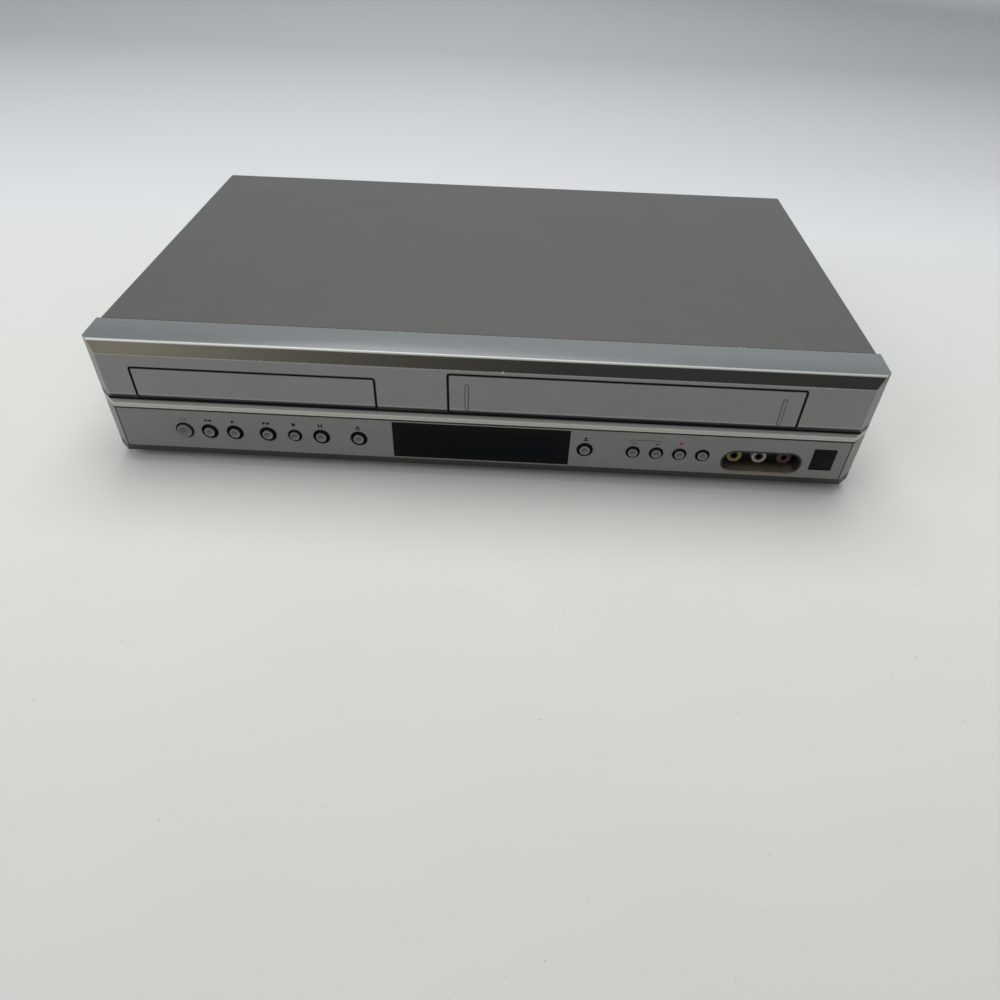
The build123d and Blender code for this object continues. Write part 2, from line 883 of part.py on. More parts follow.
def loader_frame():
    """The fixed tub of the disc loader: floor, side walls, ledges, hold-downs and legs."""
    middle = tray_door_middle
    inner = tray_width / 2 + slip
    outer = inner + frame_wall
    front = face_y + frame_front
    back = frame_back_y
    floor_top = frame_floor + frame_floor_thick
    frame = block(middle - outer, middle + outer, front, back, frame_floor, floor_top)
    wide = pickup_width / 2 + pickup_gap
    start = pickup_start() - pickup_gap
    end = start + pickup_length + 2 * pickup_gap
    frame -= block(middle - wide, middle + wide, start, end, 0.0, body_height)
    high = tray_top + slip + tray_hold_down
    for side in (-1, 1):
        low_x, high_x = sorted((middle + side * inner, middle + side * outer))
        frame += block(low_x, high_x, front, back, floor_top, high)
        ledge = sorted((middle + side * inner, middle + side * (inner - rack_inset / 2)))
        ledge_top_z = tray_floor - slip
        frame += block(ledge[0], ledge[1], front, back, ledge_top_z - tray_ledge_thick, ledge_top_z)
        for y in (front, back - hold_down_length):
            frame += block(ledge[0], ledge[1], y, y + hold_down_length, tray_top + slip, high)
        for y in (frame_leg_front(), back - frame_leg):
            leg = sorted((middle + side * outer, middle + side * (outer - frame_leg)))
            frame += block(leg[0], leg[1], y, y + frame_leg, pan_top, frame_floor)
        boss = sorted((middle + side * wide, middle + side * (wide + pivot_length)))
        reach = pivot_radius + pivot_wall
        frame += block(boss[0], boss[1], pivot_y() - reach, pivot_y() + reach, pivot_z() - reach,
                       floor_top + reach)
        frame -= rod_x(pivot_y(), pivot_z(), boss[0], boss[1], pivot_radius + fit)
    frame += post(gear_x, gear_y, floor_top, gear_low + gear_thick, gear_post_radius - fit)
    frame += post(gear_x, gear_y, floor_top, gear_low - pulley_thick - slip, gear_seat_radius)
    return frame


def disc_tray():
    """The tray: two round recesses, the slot for the pickup and the rack under one side."""
    middle = tray_door_middle
    half = tray_width / 2
    back = tray_front_y + tray_length
    tray = block(middle - half, middle + half, tray_front_y, back, tray_floor, tray_top)
    recess_floor = tray_top - disc_recess_depth
    tray -= post(middle, disc_y, recess_floor, tray_top + overshoot, disc_radius + disc_clearance)
    tray -= post(middle, disc_y, recess_floor - small_disc_depth, tray_top,
                 small_disc_radius + disc_clearance)
    tray -= post(middle, disc_y, 0.0, body_height, tray_slot)
    tray -= block(middle - tray_slot, middle + tray_slot, disc_y, back + overshoot, 0.0, body_height)
    teeth = []
    pitch = pi * gear_module
    count = int(tray_travel / pitch) + 2
    half_tooth = (pitch / 2 - backlash) / 2
    root = rack_x + tooth_depth * gear_module
    tip = rack_x - gear_module + slip / 2
    first = gear_y - pitch / 2
    low = gear_low
    for step in range(-1, count):
        y = first + step * pitch
        foot, end = tooth_foot * half_tooth, tooth_tip * half_tooth
        points = ((root, y - foot), (root, y + foot), (tip, y + end), (tip, y - end))
        teeth.append(upright(points, low, tray_floor))
    bar = block(root, root + rack_bar, first - 1.5 * pitch, first + (count - 0.5) * pitch, low, tray_floor)
    return tray + ([bar] + teeth)


def tray_gear():
    """The gear that drives the rack, with its pulley below."""
    gear = upright(gear_points(tray_gear_teeth, slip / 2), gear_low, gear_low + gear_thick)
    pulley_low = gear_low - pulley_thick
    gear += post(0, 0, pulley_low, gear_low, 2 * pulley_radius)
    groove = post(0, 0, pulley_low + pulley_rim, gear_low - pulley_rim, 2 * pulley_radius + overshoot)
    groove -= post(0, 0, pulley_low, gear_low, 2 * pulley_radius - belt_thick)
    gear -= groove
    gear -= post(0, 0, pulley_low - overshoot, gear_low + gear_thick + overshoot, gear_post_radius)
    return Pos(gear_x, gear_y, 0) * gear


def motor_x():
    return gear_x - motor_offset


def tray_motor():
    """The loading motor with its small pulley."""
    floor = frame_floor + frame_floor_thick
    pulley_low = gear_low - pulley_thick
    can = post(motor_x(), gear_y, floor, pulley_low - motor_neck, motor_radius)
    shaft = post(motor_x(), gear_y, pulley_low - motor_neck, gear_low, motor_shaft_radius)
    pulley = post(motor_x(), gear_y, pulley_low, gear_low, pulley_radius)
    groove = post(motor_x(), gear_y, pulley_low + pulley_rim, gear_low - pulley_rim, pulley_radius + overshoot)
    groove -= post(motor_x(), gear_y, 0.0, body_height, pulley_radius - belt_thick)
    return can + shaft + (pulley - groove)


def belt_outline(grow):
    """The outside of a belt round the two pulleys, seen from above."""
    big = 2 * pulley_radius - belt_thick + slip + grow
    small = pulley_radius - belt_thick + slip + grow
    lean = (big - small) / motor_offset
    slope = sqrt(1 - lean * lean)
    side = [(gear_x - big * lean, gear_y + big * slope), (motor_x() - small * lean, gear_y + small * slope)]
    other = [(x, 2 * gear_y - y) for x, y in reversed(side)]
    return side + other, big, small


def tray_belt():
    """A flat belt from the motor to the gear."""
    low = gear_low - pulley_thick / 2 - belt_width / 2
    high = low + belt_width

    def loop(grow):
        corners, big, small = belt_outline(grow)
        shape = upright(corners, low, high)
        return shape + [post(gear_x, gear_y, low, high, big), post(motor_x(), gear_y, low, high, small)]

    return loop(belt_thick / 2) - loop(0.0)


def pickup_chassis():
    """The tipping plate that carries the spindle motor and the rods of the pickup."""
    middle = tray_door_middle
    half = pickup_width / 2
    start = pickup_start()
    low = pickup_low()
    high = low + pickup_plate
    first, last = rod_ends()
    plate = block(middle - half, middle + half, start, start + pickup_length, low, high)
    window = sled_width / 2 + sled_window_gap
    reach = rod_block / 2
    plate -= block(middle - window, middle + window, first + reach, last - reach, 0.0, body_height)
    for y in (first, last):
        for step in (-guide_rod_step, guide_rod_step, feed_screw_step):
            x = middle + step
            plate += block(x - reach, x + reach, y - reach, y + reach, high, rod_z + reach)
    for step in (-guide_rod_step, guide_rod_step):
        plate -= rod_y(middle + step, rod_z, first - reach, last + reach, guide_rod_radius)
    screw_x = middle + feed_screw_step
    plate -= rod_y(screw_x, rod_z, first - rod_block, last + rod_block, feed_screw_radius + fit)
    for side in (-1, 1):
        pin = sorted((middle + side * half, middle + side * (half + pickup_gap + pivot_length)))
        plate += rod_x(pivot_y(), pivot_z(), pin[0], pin[1], pivot_radius)
        ear = sorted((middle + side * (half - pivot_length), middle + side * half))
        plate += block(ear[0], ear[1], pivot_y() - pivot_radius, pivot_y() + pivot_radius, high,
                       pivot_z() + pivot_radius)
    return plate


def rod_ends():
    """Front and back bearings of the rods."""
    first = disc_y + spindle_motor_radius + slip + rod_block / 2
    last = disc_y + sled_start + sled_travel + sled_length / 2 + rod_end_gap + rod_block / 2
    return first, last


def guide_rods():
    first, last = rod_ends()
    reach = rod_block / 2
    rods = [rod_y(tray_door_middle + step, rod_z, first - reach, last + reach, guide_rod_radius)
            for step in (-guide_rod_step, guide_rod_step)]
    return Compound(children=rods)


def feed_screw():
    """The screw that drives the pickup, with its motor coupling at the front end."""
    first, last = rod_ends()
    x = tray_door_middle + feed_screw_step
    screw = rod_y(x, rod_z, first - rod_block, last + rod_block, feed_screw_radius)
    return screw + rod_y(x, rod_z, first - rod_block - coupling_length, first - rod_block, coupling_radius)


def pickup_motors():
    """The flat motor under the turntable, and the motor in front of the feed screw in its cradle."""
    low = pickup_low() + pickup_plate
    spindle = post(tray_door_middle, disc_y, low, low + spindle_motor_height, spindle_motor_radius)
    first, _ = rod_ends()
    x = tray_door_middle + feed_screw_step
    back = first - rod_block - coupling_length - slip
    can = rod_y(x, rod_z, back - feed_motor_length, back, feed_motor_radius)
    reach = feed_motor_radius / 2
    cradle = block(x - reach, x + reach, back - feed_motor_length, back, low, rod_z)
    return Compound(children=[spindle, can + cradle])


def turntable():
    """The disc's seat on the spindle."""
    x, y = tray_door_middle, disc_y
    low = turntable_top - turntable_thick
    shaft_low = pickup_low() + pickup_plate + spindle_motor_height + slip
    shape = post(x, y, low, turntable_top, turntable_radius)
    shape += post(x, y, turntable_top, turntable_top + turntable_hub_height, turntable_hub)
    shape += post(x, y, shaft_low, low, spindle_radius)
    return shape


def pickup_sled():
    """The carriage with the lens, running on the two rods."""
    x = tray_door_middle
    y = disc_y + sled_start
    low = rod_z - sled_thick / 2
    high = rod_z + sled_thick / 2
    half = sled_width / 2
    sled = block(x - half, x + half, y - sled_length / 2, y + sled_length / 2, low, high)
    for step in (-guide_rod_step, guide_rod_step):
        sled -= rod_y(x + step, rod_z, y - sled_length, y + sled_length, guide_rod_radius + fit)
    sled += post(x, y - lens_forward, high, high + lens_height, lens_radius)
    reach = feed_screw_step - feed_screw_radius - slip
    sled += block(x + half, x + reach, y - nut_width / 2, y + nut_width / 2, rod_z - nut_thick / 2,
                  rod_z + nut_thick / 2)
    return sled


def clamp_bridge():
    """The bar over the tray that holds the clamper."""
    middle = tray_door_middle
    reach = tray_width / 2 + slip + frame_wall
    low = tray_top + slip + tray_hold_down
    half = bridge_width / 2
    bridge = block(middle - reach, middle + reach, disc_y - half, disc_y + half, low, low + bridge_thick)
    return bridge - post(middle, disc_y, low - overshoot, low + bridge_thick + overshoot, clamper_radius + slip)


def clamper():
    """The magnetic puck over the turntable."""
    x, y = tray_door_middle, disc_y
    top = tray_top + slip + tray_hold_down + bridge_thick + slip
    low = turntable_top + turntable_hub_height + slip
    puck = post(x, y, low, top, clamper_radius)
    return puck + post(x, y, top, top + clamper_thick, clamper_radius + clamper_rim)


# ---------------------------------------------------------------- tape deck
def bracket_half():
    """Inner faces of the deck's side brackets, from the cassette's middle line."""
    return holder_half + holder_sheet + slip


def deck_half():
    return bracket_half() + bracket_sheet + slip + slider_sheet + slider_clearance


def reel_places():
    return [(cassette_middle - reel_pitch / 2, reel_y), (cassette_middle + reel_pitch / 2, reel_y)]


def drum_pose():
    """The drum leans a little towards the front."""
    return Pos(drum_x, drum_y, deck_top) * Rot(drum_tilt, 0, 0)


def arc_slot(side, extra):
    """The track of one tape guide, a ring segment round the drum."""
    ring = post(drum_x, drum_y, deck_height - overshoot, deck_top + overshoot, guide_orbit + guide_slot / 2)
    ring -= post(drum_x, drum_y, deck_height - 2.0, deck_top + 2.0, guide_orbit - guide_slot / 2)
    middle = guide_start + guide_sweep / 2
    half = guide_sweep / 2 + extra
    reach = 2 * guide_orbit
    points = [(drum_x, drum_y)]
    steps = 6
    for step in range(steps + 1):
        turn = radians(middle - half + 2 * half * step / steps)
        points.append((drum_x + side * reach * sin(turn), drum_y - reach * cos(turn)))
    if side < 0:
        points = points[::-1]
    return ring & upright(points, deck_height - overshoot, deck_top + overshoot)


def deck_plate():
    """The plate that carries the tape mechanism, on its legs."""
    half = deck_half()
    front = deck_front_y
    back = deck_back_y
    plate = block(cassette_middle - half, cassette_middle + half, front, back, deck_height, deck_top)
    extra = degrees((guide_slot / 2 + guide_slot_end) / guide_orbit)
    cuts = [arc_slot(side, extra) for side in (-1, 1)]
    cx, cy = capstan_place()
    cuts.append(post(cx, cy, deck_height - overshoot, deck_top + overshoot, bearing_radius - bearing_seat))
    plate -= cuts
    inset = 2 * deck_leg_radius
    for sx in (-1, 1):
        for y in (front + inset, back - inset):
            plate += post(cassette_middle + sx * (half - inset), y, pan_top, deck_height, deck_leg_radius)
    for x, y in reel_places():
        plate += post(x, y, deck_top, reel_bore_top() - slip, reel_post_radius)
        plate += post(x, y, deck_top, deck_top + reel_lift - slip, 2 * reel_post_radius)
    px, py = pinch_pivot()
    plate += post(px, py, deck_top, pinch_low - slip, 2 * pinch_post_radius)
    plate += post(px, py, deck_top, pinch_low + pinch_arm_thick, pinch_post_radius)
    ix, iy = idler_pivot()
    plate += post(ix, iy, deck_top, deck_top + reel_lift - slip, 2 * reel_post_radius)
    plate += post(ix, iy, deck_top, deck_top + reel_lift + idler_arm_thick + slip, reel_post_radius)
    ring = post(cx, cy, deck_height, deck_top + bearing_height, bearing_radius)
    ring -= post(cx, cy, deck_height - overshoot, deck_top + bearing_height + overshoot, capstan_radius + fit)
    return plate + ring


def capstan_place():
    return cassette_middle + capstan_x, drum_y - capstan_ahead


def capstan():
    """The polished shaft and the flywheel under the deck."""
    x, y = capstan_place()
    top = deck_height - slip
    shape = post(x, y, top - flywheel_thick, capstan_top, capstan_radius)
    return shape + post(x, y, top - flywheel_thick, top, flywheel_radius)


def pinch_pivot():
    """The arm's pivot is as far from the capstan as the arm is long."""
    x, y = capstan_place()
    return x + pinch_arm_length, y


def pinch_rest_turn():
    """Direction of the arm at rest; swung in, the roller stops one slip short of the capstan."""
    reach = capstan_radius + pinch_radius + slip
    closed = pi - 2 * asin(reach / 2 / pinch_arm_length)
    return closed - radians(pinch_swing)


def pinch_rest():
    """The pinch roller's place with the arm swung back."""
    px, py = pinch_pivot()
    turn = pinch_rest_turn()
    return px + pinch_arm_length * cos(turn), py + pinch_arm_length * sin(turn)


def pinch_arm():
    x, y = pinch_pivot()
    rx, ry = pinch_rest()
    low = pinch_low
    high = low + pinch_arm_thick
    arm = block(0, pinch_arm_length, -pinch_arm_width / 2, pinch_arm_width / 2, low, high)
    arm = Pos(x, y, 0) * Rot(0, 0, degrees(pinch_rest_turn())) * arm
    arm += post(x, y, low, high, pinch_arm_width / 2)
    arm += post(rx, ry, low, high, pinch_arm_width / 2)
    arm += post(rx, ry, high, high + slip + pinch_height, pinch_post_radius - fit)
    return arm - post(x, y, low - overshoot, high + overshoot, pinch_post_radius + fit)


def pinch_roller():
    rx, ry = pinch_rest()
    low = pinch_low + pinch_arm_thick + slip
    roller = post(rx, ry, low, low + pinch_height, pinch_radius)
    return roller - post(rx, ry, low - overshoot, low + pinch_height + overshoot, pinch_post_radius)


def reel_bore_top():
    return deck_top + reel_lift + reel_thick + reel_hub_height - reel_fin


def reel(place):
    """A reel table with its splined hub."""
    x, y = place
    low = deck_top + reel_lift
    top = low + reel_thick
    shape = post(x, y, low, top, reel_radius)
    high = top + reel_hub_height
    shape += post(x, y, top, high, reel_hub_radius - reel_fin)
    for fin in range(reel_fins):
        bar = block(0, reel_hub_radius, -reel_fin / 2, reel_fin / 2, top, high - reel_fin)
        shape += Pos(x, y, 0) * Rot(0, 0, 360 * fin / reel_fins) * bar
    return shape - post(x, y, low - overshoot, reel_bore_top(), reel_post_radius + fit)


def idler_pivot():
    return cassette_middle, reel_y + idler_arm_length


def idler_arm():
    """The swinging arm between the reels."""
    x, y = idler_pivot()
    low = deck_top + reel_lift
    high = low + idler_arm_thick
    half = idler_arm_width / 2
    arm = block(x - half, x + half, reel_y, y, low, high)
    arm += post(x, y, low, high, idler_pivot_radius) + post(x, reel_y, low, high, half)
    arm -= post(x, y, low - overshoot, high + overshoot, reel_post_radius + fit)
    return arm + post(x, reel_y, high, high + slip + idler_thick, reel_post_radius - fit)


def idler_gear():
    low = deck_top + reel_lift + idler_arm_thick + slip
    gear = post(cassette_middle, reel_y, low, low + idler_thick, idler_radius)
    bore = post(cassette_middle, reel_y, low - overshoot, low + idler_thick + overshoot, reel_post_radius)
    return gear - bore


def lower_drum():
    """The fixed lower half of the head drum on its base."""
    lift = drum_radius * sin(radians(drum_tilt)) + slip
    base = post(0, 0, lift, lift + drum_foot, drum_radius - drum_step)
    body = post(0, 0, lift + drum_foot, lower_drum_height, drum_radius)
    reach = drum_radius / 2
    seat = block(drum_x - reach, drum_x + reach, drum_y - reach, drum_y + reach, deck_top,
                 deck_top + lift + drum_foot)
    return drum_pose() * (base + body) + seat


def upper_drum():
    """The turning upper half, with the cap of its motor."""
    low = lower_drum_height + drum_gap
    high = low + upper_drum_height
    return drum_pose() * (post(0, 0, low, high, drum_radius)
                          + post(0, 0, high, high + drum_cap_height, drum_cap_radius))


def tape_guide(side):
    """One tape guide: its shoe on the deck, the peg in the track and the roller."""
    turn = radians(guide_start)
    x = drum_x + side * guide_orbit * sin(turn)
    y = drum_y - guide_orbit * cos(turn)
    low = deck_top + slip
    top = low + guide_base_thick
    shape = post(x, y, low, top, guide_base_radius)
    shape += post(x, y, deck_height - guide_peg_low, low, guide_slot / 2 - slip)
    roller_low = top + guide_roller_lift
    roller_high = roller_low + guide_roller_height
    shape += post(x, y, top, roller_high + guide_roller_lift, guide_post_radius)
    return shape + post(x, y, roller_low, roller_high, guide_roller_radius)


def tape_heads():
    """The erase head on the left and the sound head on the right, outside the tracks of the guides."""
    half = head_width / 2
    reach = guide_orbit + guide_base_radius + head_gap + half + head_rim
    heads = []
    for side in (-1, 1):
        x = drum_x + side * reach
        y = drum_y - head_depth / 2
        low = deck_top + head_base
        body = block(x - half, x + half, y, y + head_depth, low, low + head_height)
        base = block(x - half - head_rim, x + half + head_rim, y - head_rim, y + head_depth + head_rim,
                     deck_top, deck_top + head_base)
        heads.append(body + base)
    return Compound(children=heads)


def pin_places():
    """Side pins of the raised holder, in depth."""
    back = holder_y + holder_length
    return (holder_y + holder_pin_inset, back - holder_pin_inset)


def pin_z():
    return holder_raise + holder_pin_rise - cassette_thick / 4


def cassette_holder():
    """The sheet basket that takes the cassette: shelves, sides and a bridge over the top."""
    half = holder_half
    outer = half + holder_sheet
    low = holder_raise - holder_sheet
    top = holder_raise + cassette_thick + 2 * cassette_play
    back = holder_y + holder_length
    m = cassette_middle
    holder = block(m - outer, m + outer, holder_y, back, top, top + holder_sheet)
    side_reach = half - holder_bridge_side
    holder -= block(m - side_reach, m + side_reach, holder_y + holder_bridge_end, back - holder_bridge_end,
                    top - overshoot, top + holder_sheet + overshoot)
    for side in (-1, 1):
        wall = sorted((m + side * half, m + side * outer))
        holder += block(wall[0], wall[1], holder_y, back, low, top)
        shelf = sorted((m + side * half, m + side * (half - holder_shelf)))
        holder += block(shelf[0], shelf[1], holder_y, back, low, holder_raise)
        tip = sorted((m + side * outer, m + side * (deck_half() - slider_clearance / 2)))
        for y in pin_places():
            holder += rod_x(y, pin_z(), tip[0], tip[1], holder_pin_radius)
    return holder


def slanted_slot(x0, x1, y, z):
    """The path of a holder pin: back and down at once."""
    reach = holder_pin_radius + slip
    run = sqrt(holder_back_travel ** 2 + holder_drop ** 2)
    lean = degrees(atan(holder_drop / holder_back_travel))
    slot = block(x0, x1, 0, run, -reach, reach)
    slot += [rod_x(0, 0, x0, x1, reach), rod_x(run, 0, x0, x1, reach)]
    return Pos(0, y, z) * Rot(-lean, 0, 0) * slot


def holder_brackets():
    """The two fixed side plates with the slanted tracks of the holder."""
    inner = bracket_half()
    outer = inner + bracket_sheet
    front = deck_front_y
    plates = []
    for side in (-1, 1):
        low, high = sorted((cassette_middle + side * inner, cassette_middle + side * outer))
        plate = block(low, high, front, front + bracket_length, deck_top, bracket_top)
        for y in pin_places():
            plate -= slanted_slot(low - overshoot, high + overshoot, y, pin_z())
        foot = sorted((cassette_middle + side * outer, cassette_middle + side * (outer - bracket_foot)))
        end = front + bracket_length
        plate += block(foot[0], foot[1], end, end + bracket_foot_length, deck_top, deck_top + bracket_sheet)
        plates.append(plate)
    return Compound(children=plates)


def carriage_sliders():
    """The two driven plates outside the brackets; upright slots let the holder sink."""
    inner = bracket_half() + bracket_sheet + slip
    outer = inner + slider_sheet
    first, last = pin_places()
    reach = holder_pin_radius + slip
    low_z = pin_z() - holder_drop - slider_margin
    high_z = pin_z() + slider_margin
    plates = []
    for side in (-1, 1):
        low, high = sorted((cassette_middle + side * inner, cassette_middle + side * outer))
        plate = block(low, high, first - slider_margin, last + slider_margin, low_z, high_z)
        for y in (first, last):
            foot = pin_z() - holder_drop - reach
            plate -= block(low - overshoot, high + overshoot, y - reach, y + reach, foot, pin_z() + reach)
        plates.append(plate)
    return Compound(children=plates)


# ---------------------------------------------------------------- boards
def left_edge():
    return -cover_half + cover_sheet + board_margin


def main_board_front():
    return frame_leg_front() + frame_leg + slip


def board_posts():
    """Posts of the pan under both boards."""
    x0 = left_edge() + board_margin
    x1 = left_edge() + main_board_width - board_margin
    y0 = main_board_front() + board_margin
    y1 = main_board_front() + main_board_length - board_margin
    y2 = power_board_front + board_margin
    y3 = power_board_back - board_margin
    return [(x, y) for x in (x0, x1) for y in (y0, y1, y2, y3)]


def main_board():
    """The board under the disc loader, with its chips."""
    x0 = left_edge()
    y0 = main_board_front()
    x1 = x0 + main_board_width
    y1 = y0 + main_board_length
    board = block(x0, x1, y0, y1, board_height, board_top)
    chips = []
    for step in range(main_board_chips):
        x = x0 + main_board_width * (step + 1) / (main_board_chips + 1) - chip_size / 2
        y = y0 + main_board_length / 3
        chips.append(block(x, x + chip_size, y, y + chip_size, board_top, board_top + chip_thick))
    for step in range(main_board_capacitors):
        x = x0 + main_board_width * (step + 1) / (main_board_capacitors + 1)
        y = y1 - main_board_length / 3
        chips.append(post(x, y, board_top, board_top + small_capacitor_height, small_capacitor_radius))
    return board + chips


def power_board():
    """The mains board at the back, with its transformer, capacitors and heat sink."""
    x0 = left_edge()
    y0 = power_board_front
    x1 = x0 + main_board_width
    middle = y0 + power_board_length / 2
    board = block(x0, x1, y0, power_board_back, board_height, board_top)
    tx = x0 + main_board_width * transformer_share
    reach = transformer_width / 2
    high = board_top + transformer_height
    parts = [block(tx, tx + transformer_width, middle - reach, middle + reach, board_top, high)]
    cx = x0 + main_board_width * capacitor_share
    parts.append(post(cx, middle, board_top, board_top + capacitor_height, capacitor_radius))
    for step in range(power_board_capacitors):
        x = x1 - small_capacitor_inset
        y = y0 + power_board_length * (step + 1) / (power_board_capacitors + 1)
        parts.append(post(x, y, board_top, board_top + 2 * small_capacitor_height, small_capacitor_radius))
    sink_x = x0 + heat_sink_inset
    sink_y = y0 + board_margin
    parts.append(block(sink_x, sink_x + heat_sink_width, sink_y, sink_y + heat_sink_thick, board_top, high))
    return board + parts


# ---------------------------------------------------------------- all pieces
def all_pieces():
    pieces = {
        "front_panel": front_panel(),
        "tray_door": tray_door(),
        "cassette_door": cassette_door(),
        "door_spring": door_spring(),
        "display_window": display_window(),
        "av_pocket": av_pocket(),
        "front_board": front_board(),
        "top_cover": top_cover(),
        "bottom_pan": bottom_pan(),
        "rear_panel": rear_panel(),
        "cover_screws": cover_screws(),
        "feet": feet(),
        "rear_jack_block": rear_jack_block(),
        "power_inlet": power_inlet(),
        "loader_frame": loader_frame(),
        "disc_tray": disc_tray(),
        "tray_gear": tray_gear(),
        "tray_motor": tray_motor(),
        "tray_belt": tray_belt(),
        "pickup_chassis": pickup_chassis(),
        "pickup_motors": pickup_motors(),
        "turntable": turntable(),
        "pickup_sled": pickup_sled(),
        "guide_rods": guide_rods(),
        "feed_screw": feed_screw(),
        "clamp_bridge": clamp_bridge(),
        "clamper": clamper(),
        "deck_plate": deck_plate(),
        "holder_brackets": holder_brackets(),
        "carriage_sliders": carriage_sliders(),
        "cassette_holder": cassette_holder(),
        "supply_reel": reel(reel_places()[0]),
        "takeup_reel": reel(reel_places()[1]),
        "idler_arm": idler_arm(),
        "idler_gear": idler_gear(),
        "lower_drum": lower_drum(),
        "upper_drum": upper_drum(),
        "supply_guide": tape_guide(-1),
        "takeup_guide": tape_guide(1),
        "tape_heads": tape_heads(),
        "capstan": capstan(),
        "pinch_arm": pinch_arm(),
        "pinch_roller": pinch_roller(),
        "main_board": main_board(),
        "power_board": power_board(),
    }
    for name, step in JACKS:
        pieces[name] = front_jack(step)
    for name, share, hole, cap in BUTTONS:
        pieces[name] = button(share * body_width, hole, cap)
    return pieces


os.makedirs("parts", exist_ok=True)
for piece_name, piece in all_pieces().items():
    write(piece_name, piece)
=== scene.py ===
"""The looks of a slim disc and video cassette player: finishes, fine shapes, studio and camera.

Sizes are in millimetres and become metres where a mesh is made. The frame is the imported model's:
+X to the right as seen from the front, +Y to the back, +Z up, the origin on the ground.
"""
import logging
import math
from collections.abc import Callable, Sequence
from dataclasses import dataclass, field
from enum import Enum, auto
from itertools import product

import bmesh
import bpy
import numpy as np
from mathutils import Matrix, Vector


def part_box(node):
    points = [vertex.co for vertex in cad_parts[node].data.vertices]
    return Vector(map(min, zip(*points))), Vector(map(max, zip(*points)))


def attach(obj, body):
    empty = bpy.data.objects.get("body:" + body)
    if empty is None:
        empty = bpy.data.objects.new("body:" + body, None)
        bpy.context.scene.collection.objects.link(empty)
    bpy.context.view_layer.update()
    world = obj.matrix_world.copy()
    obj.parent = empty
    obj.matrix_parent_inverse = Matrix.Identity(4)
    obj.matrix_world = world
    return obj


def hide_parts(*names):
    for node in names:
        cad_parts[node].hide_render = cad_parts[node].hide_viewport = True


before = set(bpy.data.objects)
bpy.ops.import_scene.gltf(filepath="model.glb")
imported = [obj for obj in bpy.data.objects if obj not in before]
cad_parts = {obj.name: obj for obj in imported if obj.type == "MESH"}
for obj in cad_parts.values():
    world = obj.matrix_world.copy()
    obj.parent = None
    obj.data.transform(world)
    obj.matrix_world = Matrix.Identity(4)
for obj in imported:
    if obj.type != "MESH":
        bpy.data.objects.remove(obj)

log = logging.getLogger("player")
MM = 0.001
TOP = 78.5
FACE_Y = -131.15
PROUD = 0.5
BACK_Y = 127.35
Point = tuple[float, float, float]
Colour = tuple[float, float, float]
Linear = tuple[float, float, float, float]
Pair = tuple[float, float]
Box = tuple[float, float, float, float, float]
DARK: Linear = (0.0, 0.0, 0.0, 1.0)


def linear(colour: Colour) -> Linear:
    """The linear colour of an 8-bit display colour.

    Args:
        colour: red, green and blue from 0 to 255.

    Returns:
        Linear red, green and blue, and an alpha of one.
    """
    share = np.asarray(colour, dtype=float) / 255.0
    low, high = share / 12.92, ((share + 0.055) / 1.055) ** 2.4
    return (*np.where(share <= 0.04045, low, high).tolist(), 1.0)


def shaded(colour: Colour, factor: float) -> Linear:
    """The linear colour of a display colour made lighter or darker by a factor."""
    return (*(factor * part for part in linear(colour)[:3]), 1.0)


# ---------- shader graph
def operator(operation: str, swapped: bool = False) -> Callable:
    """The method of Field that puts two values through a Math node.

    Args:
        operation: what the node does.
        swapped: whether the Field comes second, as where a number stands on its left.

    Returns:
        The method.
    """
    def method(self: "Field", other: "Field | float") -> "Field":
        """The node's result."""
        return self.graph.maths(operation, *((other, self) if swapped else (self, other)))

    return method


class Field:
    """A value that varies over a surface and is written like an ordinary number."""

    def __init__(self, graph: "Graph", socket: bpy.types.NodeSocket) -> None:
        """Wrap one output socket of a graph."""
        self.graph = graph
        self.socket = socket

    __add__ = __radd__ = operator("ADD")
    __sub__ = operator("SUBTRACT")
    __rsub__ = operator("SUBTRACT", swapped=True)
    __mul__ = __rmul__ = operator("MULTIPLY")
    __truediv__ = operator("DIVIDE")

    def __abs__(self) -> "Field":
        """Size without sign."""
        return self.graph.maths("ABSOLUTE", self)

    def rise(self, low: float, high: float) -> "Field":
        """Nought below low, one above high, straight between."""
        return self.graph.node(
            "MapRange", {"clamp": True}, {"Value": self, "From Min": low, "From Max": high})

    def past(self, edge: float, soft: float = 0.1) -> "Field":
        """Nought before an edge and one past it, with a soft step."""
        return self.rise(edge - soft, edge + soft)

    def band(self, low: float, high: float, soft: float = 0.1) -> "Field":
        """One between low and high, with soft ends."""
        return self.past(low, soft) * (1 - self.past(high, soft))

    def clamped(self) -> "Field":
        """The value, no less than nought and no more than one."""
        return self.rise(0.0, 1.0)

    def repeat(self, pitch: float, middle: float = 0.0) -> "Field":
        """The distance from the nearest of evenly spaced places, with its sign."""
        return self.graph.maths("FLOORED_MODULO", self - (middle - pitch / 2), pitch) - pitch / 2


